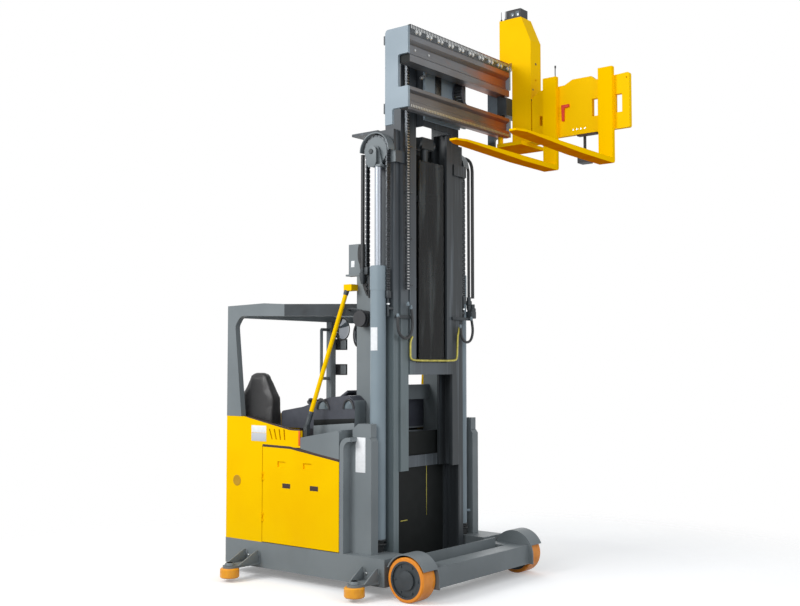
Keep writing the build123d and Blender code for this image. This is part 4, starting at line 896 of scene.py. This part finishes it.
def lamps():
    """Faces of the work lamps, and the flood lamp's lens, bezel, cooling ribs and arm."""
    low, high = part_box("lamps")
    dark = Form("lamp_faces", "chassis", "display")
    half = 0.041
    for z in (1.868, 1.639):
        dark.box((low[0] + 0.0975, high[1] - 0.091, z - half),
                 (low[0] + 0.1015, high[1] - 0.009, z + half), 0.0015)
    dark.done()
    flood = at(-0.638, low[1] + 0.008, 2.038)
    glass = Form("lamp_lenses", "chassis", "lens")
    glass.lathe(flood, RIGHTWARD, [(0, 0.0535), (0.003, 0.052), (0.006, 0.035), (0.007, 0)], 40)
    glass.done()
    bezel = Form("lamp_bezels", "chassis", "black")
    bezel.lathe(flood + Vector((0, -0.0085, 0)), LEFTWARD,
                [(0, 0.0545), (0, 0.0625), (0.006, 0.064), (0.012, 0.0635), (0.0125, 0.0545)], 40)
    for back in (0.02, 0.05, 0.08):
        bezel.lathe(flood + Vector((0, back, 0)), LEFTWARD,
                    [(0, 0.0622), (0.003, 0.0655), (0.006, 0.0622)], 40)
    bezel.done()
    arm = Form("lamp_arm", "chassis", "iron")
    arm.pipe([(-0.80, -0.478, 2.11), (-0.78, -0.53, 2.12), (-0.70, -0.53, 2.115),
              (-0.645, -0.51, 2.10)], 0.008)
    arm.done()


def mirrors():
    """The long mirror's face, and the dome mirror's face and rim."""
    long_face = (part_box("mirrors")[1][0] - 0.0005, -0.408, 1.916)
    dome = Vector((DOME_FACE, 0.48, 2.007))
    narrow = Matrix.Diagonal((0.585, 1, 1, 1))
    face = Form("mirror_faces", "chassis", "mirror")
    face.lathe(long_face, FORWARD, [(0, 0.088), (0.003, 0.084), (0.005, 0.05), (0.006, 0)], 40,
               narrow)
    face.lathe(dome, FORWARD, [(0, 0.096), (0.012, 0.08), (0.022, 0.05), (0.026, 0)], 40)
    face.done()
    rim = Form("mirror_rims", "chassis", "black")
    rim.lathe(dome - Vector((0.016, 0, 0)), FORWARD, [(0, 0.1), (0.002, 0.105), (0.016, 0.106),
                                                      (0.02, 0.102), (0.0205, 0.0955)], 44)
    rim.done()


# The mast

LINK_HALF = 0.0062


def leaf_chain(form, foot, top):
    """An upright leaf chain: wide and narrow rows of plates in turn."""
    pitch, width, narrow, reach = 0.018, 0.044, 0.72, 0.72
    count = int((top - foot).length / pitch)
    for step in range(count):
        z = foot.z + (top.z - foot.z) * (step + 0.5) / count
        wide = width if step % 2 else width * narrow
        form.box((foot.x - LINK_HALF, foot.y - wide / 2, z - pitch * reach),
                 (foot.x + LINK_HALF, foot.y + wide / 2, z + pitch * reach), 0)


def lift_chains():
    """The two strands of each lift chain, from the chassis to the wheel on the moving head."""
    for side, name in SIDES:
        for x, low, tag in ((-0.598, 2.43, "rear"), (-0.395, 2.24, "front")):
            foot, top = at(x, side * SHEAVE_Y, low), at(x, side * SHEAVE_Y, CHAIN_TOP)
            strand = Form("lift_chain_" + tag + "_" + name, "chassis", "chain")
            leaf_chain(strand, foot, top)
            piece = strand.done(20, rides=False)
            piece.data.polygons.foreach_set("use_smooth", [False] * len(piece.data.polygons))
            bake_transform(piece)


def lift_hoses():
    """The hoses beside the lift chains, the far ones' bends over the wheel, and the fittings."""
    far_lines = ((-0.40, 0.586, 0.012), (-0.385, 0.622, 0.014))
    for name, lines, low in (("near_hoses", ((-0.648, -0.50, 0.016),), 2.40),
                             ("far_hoses", far_lines, 2.24)):
        hoses = Form(name, "chassis", "hose")
        for x, y, radius in lines:
            hoses.rod(at(x, y, low), at(x, y, HOSE_TOP), radius, 12)
        piece = hoses.done(rides=False)
        x, y, _ = lines[0]
        tuple(at(x, y, low))
        tuple(at(x, y, HOSE_TOP))
        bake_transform(piece)
    bend = Form("far_hose_bends", "mast_middle", "hose")
    bend.pipe([(-0.385, 0.622, 3.30), (-0.385, 0.622, 3.38), (-0.43, 0.60, 3.44),
               (-0.52, 0.58, 3.43), (-0.56, 0.572, 3.36)], 0.014)
    bend.pipe([(-0.40, 0.586, 3.30), (-0.40, 0.586, 3.35), (-0.44, 0.58, 3.41),
               (-0.51, 0.57, 3.40), (-0.55, 0.565, 3.34)], 0.012)
    bend.done()
    knots = Form("riser_fittings", "chassis", "iron")
    for (x, y, _), foot in zip(far_lines, (2.13, 2.07)):
        knots.lathe(at(x, y, foot), UPWARD, [(0, 0.012), (0.03, 0.02), (0.05, 0.02), (0.055, 0.026),
                                             (0.085, 0.026), (0.09, 0.018), (0.12, 0.018)], 12)
    knots.box(at(-0.46, 0.57, 2.07), at(-0.36, 0.64, 2.13), 0.006)
    knots.lathe(at(-0.648, -0.50, 2.31), UPWARD, [(0, 0.014), (0.03, 0.022), (0.055, 0.026),
                                                  (0.085, 0.026), (0.09, 0.019), (0.12, 0.019)], 12)
    knots.box(at(-0.665, -0.505, 2.33), at(-0.63, -0.466, 2.36), 0.003)
    knots.done()


def chain_anchors():
    """The clevises, bolts and nuts under the chains' ends."""
    clevis = Form("chain_anchors", "chassis", "iron")
    nuts = Form("chain_nuts", "chassis", "bright")
    half_x, half_y = 0.016, 0.022
    for side in (-1, 1):
        x, y = -0.395, side * SHEAVE_Y
        clevis.box(at(x - half_x, y - half_y, 2.19), at(x + half_x, y + half_y, 2.245), 0.003)
        clevis.rod(at(x, y, 2.05), at(x, y, 2.195), 0.0085)
        nuts.bolt(at(x, y, 2.15), (0, 0, -1), 0.014)
        low, high = span(side, 0.455, SHEAVE_Y)
        clevis.box(at(x - 0.02, low, 2.102), at(x + 0.02, high, 2.12), 0.003)
        x = -0.598
        clevis.box(at(x - half_x, y - half_y, 2.38), at(x + half_x, y + half_y, 2.435), 0.003)
    clevis.done()
    nuts.done()


def head_chains():
    """The chain's bend over each wheel."""
    links = Form("head_chains", "mast_middle", "chain")
    count, radius = 19, 0.1165
    for side in (-1, 1):
        centre = at(SHEAVE_X, side * SHEAVE_Y, SHEAVE_Z)
        for step in range(count):
            angle = math.pi * (step + 0.5) / count
            spot = centre + Vector((math.cos(angle) * radius, 0, math.sin(angle) * radius))
            size = Vector((LINK_HALF, 0.015 if step % 2 else 0.011, 0.0135))
            links.box(spot - size, spot + size, 0, Matrix.Rotation(-angle, 4, "Y"))
    links.done(20)


def sheave_keepers():
    """The hanging plate and the pin head on each chain wheel."""
    plate = Form("sheave_keepers", "mast_middle", "grey")
    pin = Form("sheave_pins", "mast_middle", "iron")
    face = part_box("sheave_heads")[0].y
    middle = at(SHEAVE_X, face, CHAIN_TOP)
    wide, narrow, thick = 0.048, 0.03, 0.007
    outline = arc((middle.x, middle.z), wide, 0, 180, 12)
    outline += [(middle.x - wide, middle.z - 0.085), (middle.x - narrow, middle.z - 0.12),
                (middle.x + narrow, middle.z - 0.12), (middle.x + wide, middle.z - 0.085)]
    plate.prism(outline, "y", face - thick, face + 0.001, 0.002)
    pin.lathe(middle - Vector((0, thick, 0)), RIGHTWARD,
              [(0, 0.02), (0.006, 0.02), (0.009, 0.016), (0.009, 0)], 24)
    plate.mirrored().done()
    pin.mirrored().done()


def mast_shade_sheet():
    """A near-black sheet of painted shade behind the inner stage, and the thin lines on the outer
    web.
    """
    # The sheet is painted shade for the dark seen behind the inner stage.
    slab("mast_shade_sheet", "mast_inner", "shade", at(-0.5045, -0.275, 1.70), at(-0.4995, 0.275, 3.38))
    web = at(WEB_X, 0, 0).x
    back, front = web - 0.0005, web + 0.0013
    lines = Form("web_lines", "chassis", "zinc")
    lines.box((back, 0.166, 0.47), (front, 0.174, 0.94), 0.0004)
    lines.box((back, -0.17, 0.452), (front, -0.08, 0.46), 0.0004)
    lines.done()


def flange_arm(form, side, reach, z, half):
    """A flat arm out from a flange of the inner stage, and its foot on the flange."""
    for back, front, far in ((-0.341, -0.335, reach), (-0.3505, -0.3405, FLANGE_OUT)):
        low, high = span(side, FLANGE_IN, far)
        form.box(at(back, low, z - half), at(front, high, z + half), 0.001)


def drag_chain():
    """The link chain that guides cables up the front of the near channel, and its clips."""
    links = Form("mast_drag_chain", "mast_inner", "chain")
    rungs = Form("mast_drag_rungs", "mast_inner", "bright")
    pitch = 0.022
    x, y = -0.3295, -0.345
    low, high = 2.26, 4.15
    for row in range(int((high - low) / pitch)):
        z = low + row * pitch
        for edge in (-0.014, 0.010):
            links.box(at(x - 0.012, y + edge, z), at(x + 0.012, y + edge + 0.004, z + pitch * 0.8),
                      0.001)
        rungs.box(at(x - 0.004, y - 0.012, z + 0.002), at(x + 0.013, y + 0.012, z + pitch * 0.42),
                  0.001)
        links.box(at(x - 0.011, y - 0.016, z + pitch * 0.6),
                  at(x + 0.011, y + 0.016, z + pitch * 0.98), 0.001)
    for z in (2.30, 2.66, 3.02, 3.38, 3.74, 4.10):
        flange_arm(links, -1, 0.357, z, 0.007)
    links.done(20)
    rungs.done(20)


def mast_pipework():
    """The zinc pipe round the foot of the inner stage, and the hose loops with their fittings."""
    pipe_x = -0.335
    pipe = Form("zinc_pipe", "mast_inner", "zinc")
    route = ((-0.275, 1.90), (-0.30, 1.87), (-0.30, 1.79), (-0.30, 1.73), (-0.25, 1.715),
             (0, 1.715), (0.28, 1.715), (0.32, 1.73), (0.325, 1.81), (0.33, 1.92), (0.345, 1.95),
             (0.352, 1.99))
    pipe.pipe([(pipe_x, y, z) for y, z in route], 0.009, 3)
    pipe.done()
    near_loop = ((-0.47, 2.05), (-0.475, 1.98), (-0.455, 1.915), (-0.39, 1.88), (-0.325, 1.895),
                 (-0.292, 1.95), (-0.288, 2.03), (-0.305, 2.12))
    far_loop = ((0.352, 1.99), (0.356, 1.94), (0.385, 1.885), (0.445, 1.862), (0.505, 1.885),
                (0.53, 1.945), (0.528, 2.00), (0.51, 2.06))
    hose = Form("mast_hoses", "mast_inner", "hose")
    for loop in (near_loop, far_loop):
        hose.pipe([(HOSE_X, y, z) for y, z in loop], 0.011, 3)
    hose.done()
    arms = Form("hose_brackets", "mast_inner", "iron")
    for side, reach, z in ((-1, 0.488, 2.05), (1, 0.526, 2.06)):
        flange_arm(arms, side, reach, z, 0.012)
    arms.done()
    nuts = Form("hose_fittings", "mast_inner", "cylinder")
    for y, z in ((-0.47, 2.04), (-0.345, 2.135), (-0.307, 2.11), (0.508, 2.05), (0.352, 1.98)):
        nuts.lathe(at(HOSE_X, y, z), UPWARD,
                   [(0, 0.011), (0.016, 0.013), (0.017, 0.010), (0.03, 0.010)], 6)
    nuts.done()


def cylinder_details():
    """Gland rings, ports and blank plates on the lift cylinders and the tower."""
    rings = Form("gland_rings", "chassis", "cylinder")
    port = 0.47
    for side in (-1, 1):
        centre = at(CYLINDER_X, side * CYLINDER_Y, 0)
        for z, radius in ((2.424, 0.056), (0.36, 0.064), (0.33, 0.066)):
            rings.lathe(centre + Vector((0, 0, z)), UPWARD,
                        [(0, radius), (0.004, radius + 0.002), (0.01, radius + 0.002),
                         (0.013, radius)], 40)
        rings.rod(centre + Vector((0.02, side * 0.05, port)),
                  centre + Vector((0.04, side * 0.09, port)), 0.012)
    rings.done()
    centre = at(CYLINDER_X, -CYLINDER_Y, 0).xy
    start, end, steps = 245, 305, 8
    outline = arc(centre, 0.0612, start, end, steps) + arc(centre, 0.0598, end, start, steps)
    plate = Form("cylinder_plate", "chassis", "white")
    plate.prism(outline, "z", 1.79, 1.965, 0)
    plate.done()
    slab("tower_plate", "chassis", "white", at(-0.80, -0.4635, 2.45), at(-0.765, -0.461, 2.50),
         0.0008)


def tower_cables():
    """The bundle of black cables that runs down behind the near column."""
    bundle = Form("tower_cables", "chassis", "hose")
    for shift, foot in ((0, 2.26), (0.012, 2.30), (-0.012, 2.22)):
        bundle.pipe([(-0.69 + shift, -0.475, 2.62), (-0.70 + shift, -0.49, 2.52),
                     (-0.665 - shift, -0.485, 2.42), (-0.655 + shift, -0.478, 2.30),
                     (-0.62, -0.474, foot)], 0.009)
    bundle.pipe([(-0.60, -0.474, 2.44), (-0.58, -0.50, 2.30), (-0.60, -0.478, 2.20)], 0.008)
    bundle.done()


# The traverse frame and head

def rack_details():
    """The dark band behind the upper rack, both racks' ribs, and the bolts of the upper rail."""
    front = RAIL_HIGH[0]
    top = RAIL_HIGH[2] - 0.013
    slab("rack_dark_band", "lift_carriage", "chain",
         (front - 0.001, RAIL_LOW[1] + 0.004, RAIL_HIGH[2] - 0.078),
         (front + 0.0025, RAIL_HIGH[1] - 0.004, top), 0.0008)
    ribs = Form("rack_ribs", "lift_carriage", "bright")
    pitch = 0.020
    y = RAIL_LOW[1] + 0.010
    while y < RAIL_HIGH[1] - 0.012:
        for low, high in ((RAIL_HIGH[2] - 0.034, top),
                          (LOWER_RAIL_FOOT + 0.013, LOWER_RAIL_FOOT + 0.032)):
            ribs.box((front - 0.001, y, low), (front + 0.005, y + pitch * 0.5, high), 0)
        y += pitch
    ribs.done(20)
    bolts = Form("rack_bolts", "lift_carriage", "bright")
    for row in range(10):
        y = -0.585 + row * 0.1395
        for shift in (-0.021, 0.021):
            bolts.bolt((front + 0.0025, y + shift, RAIL_HIGH[2] - 0.050), FORWARD, 0.0135)
    for y in (-0.57, -0.40):
        bolts.bolt((front - 0.035, y, RAIL_LOW[2] + 0.11), FORWARD, 0.008)
    bolts.done()


def hose_loop():
    """The flat link chain that carries the hoses to the moving head."""
    links = Form("head_drag_chain", "lift_carriage", "black")
    sides = Form("head_drag_links", "lift_carriage", "moulded")
    radius, pitch, tail = 0.118, 0.0286, 0.20
    y, z = 0.29, 3.876
    path = [(y + tail - pitch * step, z - radius) for step in range(7)]
    path += arc((y, z), radius, -90, -270, 14)
    path += [(y + pitch * step, z + radius) for step in range(1, 7)]
    for first, second in zip(path, path[1:]):
        along = Vector((0, second[0] - first[0], second[1] - first[1]))
        turn = Matrix.Rotation(math.atan2(along.z, along.y), 4, "X")
        centre = at(-0.21, (first[0] + second[0]) / 2, (first[1] + second[1]) / 2)
        size = Vector((0.036, along.length * 0.40, 0.010))
        links.box(centre - size, centre + size, 0.002, turn)
        size = Vector((0.004, along.length * 0.60, 0.014))
        for x in (-0.04, 0.04):
            spot = centre + Vector((x, 0, 0))
            sides.box(spot - size, spot + size, 0.002, turn)
    links.done()
    sides.done()
    slab("head_drag_foot", "lift_carriage", "iron", at(-0.262, 0.46, 3.733),
         at(-0.165, 0.52, 3.755), 0.003)


def frame_details():
    """The frame's far panel, a dark upright band behind its opening, and three bright fittings."""
    slab("frame_panel", "lift_carriage", "frame", at(-0.279, 0.175, 3.62), at(-0.263, 0.355, 4.0),
         0.002)
    slab("frame_band", "lift_carriage", "chain", at(-0.2625, -0.072, 3.735),
         at(-0.258, 0.009, 4.08))
    nuts = Form("frame_fittings", "lift_carriage", "bright")
    for y, z in ((-0.236, 3.926), (-0.215, 3.94), (-0.232, 3.79)):
        nuts.lathe(at(-0.285, y, z), FORWARD,
                   [(0, 0.012), (0.02, 0.014), (0.022, 0.01), (0.045, 0.01)], 6)
    nuts.done()


def head_fittings():
    """Dark discs of painted shade for the column's holes, the antennas of the head, and the
    camera's lens and hood.
    """
    # The holes are flat dark discs: painted shade.
    dark = Form("column_holes", "traverse_head", "recess")
    for y, z, radius in ((0.733, 3.962, 0.008), (0.712, 3.871, 0.008), (0.78, 4.186, 0.011)):
        dark.lathe(at(0.1525, y, z), FORWARD, [(0, radius), (0.0012, radius), (0.0014, 0)], 24)
    dark.done()
    mast = Form("head_antennas", "traverse_head", "black")
    for x in (-0.096, -0.135):
        mast.lathe(at(x, 0.705, 4.588), UPWARD, [(0, 0.008), (0.012, 0.008), (0.014, 0.003),
                                                 (0.078, 0.002), (0.08, 0)], 12)
    mast.box(at(-0.09, 0.726, 4.672), at(0.03, 0.842, 4.6745), 0.001)
    mast.done()
    lens = Form("head_camera_lens", "traverse_head", "display")
    lens.lathe(at(-0.04, 0.7305, 4.632), RIGHTWARD,
               [(0, 0.018), (0.003, 0.018), (0.005, 0.012), (0.006, 0)], 28)
    lens.box(at(-0.01, 0.7285, 4.615), at(0.025, 0.7305, 4.655), 0.0008)
    lens.done()


def plate_fittings():
    """The red latch, the bolt row, the swivel's cover and the cable of the fork carriage."""
    face, low = PLATE_LOW[1], PLATE_LOW[2]
    latch = Form("fork_latch", "fork_carriage", "red")
    outline = [(0.447, 3.645), (0.468, 3.645), (0.470, 3.750), (0.514, 3.754), (0.514, 3.778),
               (0.441, 3.778)]
    latch.prism(from_axle(outline), "y", face - 0.013, face, 0.003)
    latch.done()
    bolts = Form("fork_plate_bolts", "fork_carriage", "bright")
    for x in (0.545, 0.58, 0.615, 0.65):
        bolts.bolt(at(x, face, 3.565), RIGHTWARD, 0.006)
    bolts.done()
    slab("swivel_cover", "fork_carriage", "recess", at(0.575, face + 0.004, low - 0.014),
         at(0.75, face + 0.05, low), 0.002)
    cable = Form("plate_cable", "fork_carriage", "hose")
    cable.pipe([(0.40, face + 0.02, 3.93), (0.395, face - 0.01, 3.98),
                (0.39, face - 0.015, 4.05), (0.392, face - 0.012, 4.10)], 0.004)
    cable.lathe(at(0.392, face - 0.012, 4.09), UPWARD, [(0, 0.007), (0.02, 0.007), (0.022, 0)], 12)
    cable.done()


def strut_ends():
    """Steel clevis ends and lock nuts on the two yellow tie struts."""
    ends = Form("strut_ends", "chassis", "iron")
    for side in (-1, 1):
        top = at(-0.785, side * 0.52, 2.285)
        foot = at(-1.015, side * 0.735, 1.20)
        along = (top - foot).normalized()
        ends.lathe(foot - along * 0.03, along,
                   [(0, 0.0185), (0.05, 0.019), (0.10, 0.021), (0.105, 0.0185), (0.125, 0.0215),
                    (0.15, 0.0215), (0.155, 0.018)], 20)
        ends.lathe(top - along * 0.06, along,
                   [(0, 0.019), (0.02, 0.021), (0.03, 0.021), (0.045, 0.015)], 20)
    ends.done()


# The soft seat

PAD_SCALE = 0.975
PAD_VOXEL = 0.011
PAD_SWELL = 0.012
CLOTH_STEPS = 18


def settle(piece):
    """Apply a piece's modifiers to its mesh."""
    depsgraph = bpy.context.evaluated_depsgraph_get()
    data = bpy.data.meshes.new_from_object(piece.evaluated_get(depsgraph))
    piece.modifiers.clear()
    piece.data = data


def puff(pad):
    """Let cloth under pressure swell a closed pad, with no weight on it."""
    cloth = pad.modifiers.new("cloth", "CLOTH")
    cloth.settings.use_pressure = True
    cloth.settings.uniform_pressure_force = 4
    cloth.settings.effector_weights.gravity = 0
    cloth.settings.mass = 0.3
    scene = bpy.context.scene
    for step in range(1, CLOTH_STEPS + 1):
        scene.frame_set(step)
    settle(pad)
    scene.frame_set(1)


def soft_pad(name, node):
    """The cushion or backrest, puffed out by cloth under pressure from its plain solid."""
    data = NODES[node].data.copy()
    data.materials.clear()
    pad = bpy.data.objects.new(name, data)
    bpy.context.collection.objects.link(pad)
    data.materials.append(PAINTS["vinyl"])
    middle = sum((Vector(corner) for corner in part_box(node)), Vector()) / 2
    for vertex in data.vertices:
        vertex.co = middle + (vertex.co - middle) * PAD_SCALE
    bpy.context.view_layer.objects.active = pad
    remesh = pad.modifiers.new("remesh", "REMESH")
    remesh.mode = "VOXEL"
    remesh.voxel_size = PAD_VOXEL
    settle(pad)
    start = [vertex.co.copy() for vertex in pad.data.vertices]
    puff(pad)
    for vertex, first in zip(pad.data.vertices, start):
        move = vertex.co - first
        if move.length > PAD_SWELL:
            vertex.co = first + move * (PAD_SWELL / move.length)
    smooth = pad.modifiers.new("smooth", "SMOOTH")
    smooth.factor = 0.5
    smooth.iterations = 6
    finer = pad.modifiers.new("finer", "SUBSURF")
    finer.levels = 1
    finer.render_levels = 1
    settle(pad)
    for polygon in pad.data.polygons:
        polygon.use_smooth = True
    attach(pad, "chassis")
    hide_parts(node)


def seat():
    soft_pad("seat_cushion_soft", "seat_cushion")
    soft_pad("seat_back_soft", "seat_back")


# Light and floor

def stage():
    size = 7
    floor = bpy.data.meshes.new("floor")
    floor.from_pydata([(-size, -size, 0), (size, -size, 0), (size, size, 0), (-size, size, 0)], [],
                      [(0, 1, 2, 3)])
    ground = bpy.data.objects.new("floor", floor)
    bpy.context.collection.objects.link(ground)
    floor.materials.append(floor_white())


def area_light(name, place, size, power, colour=(1, 1, 1)):
    """A square lamp that looks at the middle of the truck."""
    middle = at(-0.6, 0, 1.8)
    data = bpy.data.lights.new(name, "AREA")
    data.shape = "RECTANGLE"
    data.size = data.size_y = size
    data.energy = power
    data.color = colour
    light = bpy.data.objects.new(name, data)
    light.location = place
    light.rotation_euler = (middle - place).to_track_quat("-Z", "Y").to_euler()
    bpy.context.collection.objects.link(light)


def daylight():
    """A pale sky, pure white where it is seen itself, and four soft lamps."""
    world = bpy.data.worlds.new("studio")
    bpy.context.scene.world = world
    world.use_nodes = True
    sky = Board(world.node_tree)
    seen = sky.rays("Is Camera Ray", "Is Glossy Ray", "Is Transmission Ray")
    pale, white = (sky.node("ShaderNodeBackground", {}, {"Color": colour, "Strength": strength})[0]
                   for colour, strength in (((0.92, 0.96, 1.0, 1), 0.5), ((1, 1, 1, 1), 1)))
    mixed = sky.node("ShaderNodeMixShader", {}, {0: seen, 1: pale, 2: white})[0]
    sky.node("ShaderNodeOutputWorld", {}, {0: mixed})
    area_light("key", at(-3.5, -7.5, 6.0), 3.5, 450)
    area_light("fill", at(1.5, -8.5, 4.0), 3, 130)
    area_light("side", at(6.5, -1.0, 4.0), 4, 130, (0.95, 0.97, 1.0))
    area_light("far", at(-5.0, 6.0, 5.0), 4, 120)


def make():
    camera()
    paint_nodes()
    wheel_caps()
    guide_arms()
    vent_shade_sheet()
    side_plates()
    door_trim()
    top_trim()
    dash_skirt()
    dash_fittings()
    lamps()
    mirrors()
    lift_chains()
    lift_hoses()
    chain_anchors()
    head_chains()
    sheave_keepers()
    mast_shade_sheet()
    drag_chain()
    mast_pipework()
    cylinder_details()
    tower_cables()
    rack_details()
    hose_loop()
    frame_details()
    head_fittings()
    plate_fittings()
    strut_ends()
    seat()
    stage()
    daylight()
    bpy.context.scene.view_settings.view_transform = "Standard"


make()
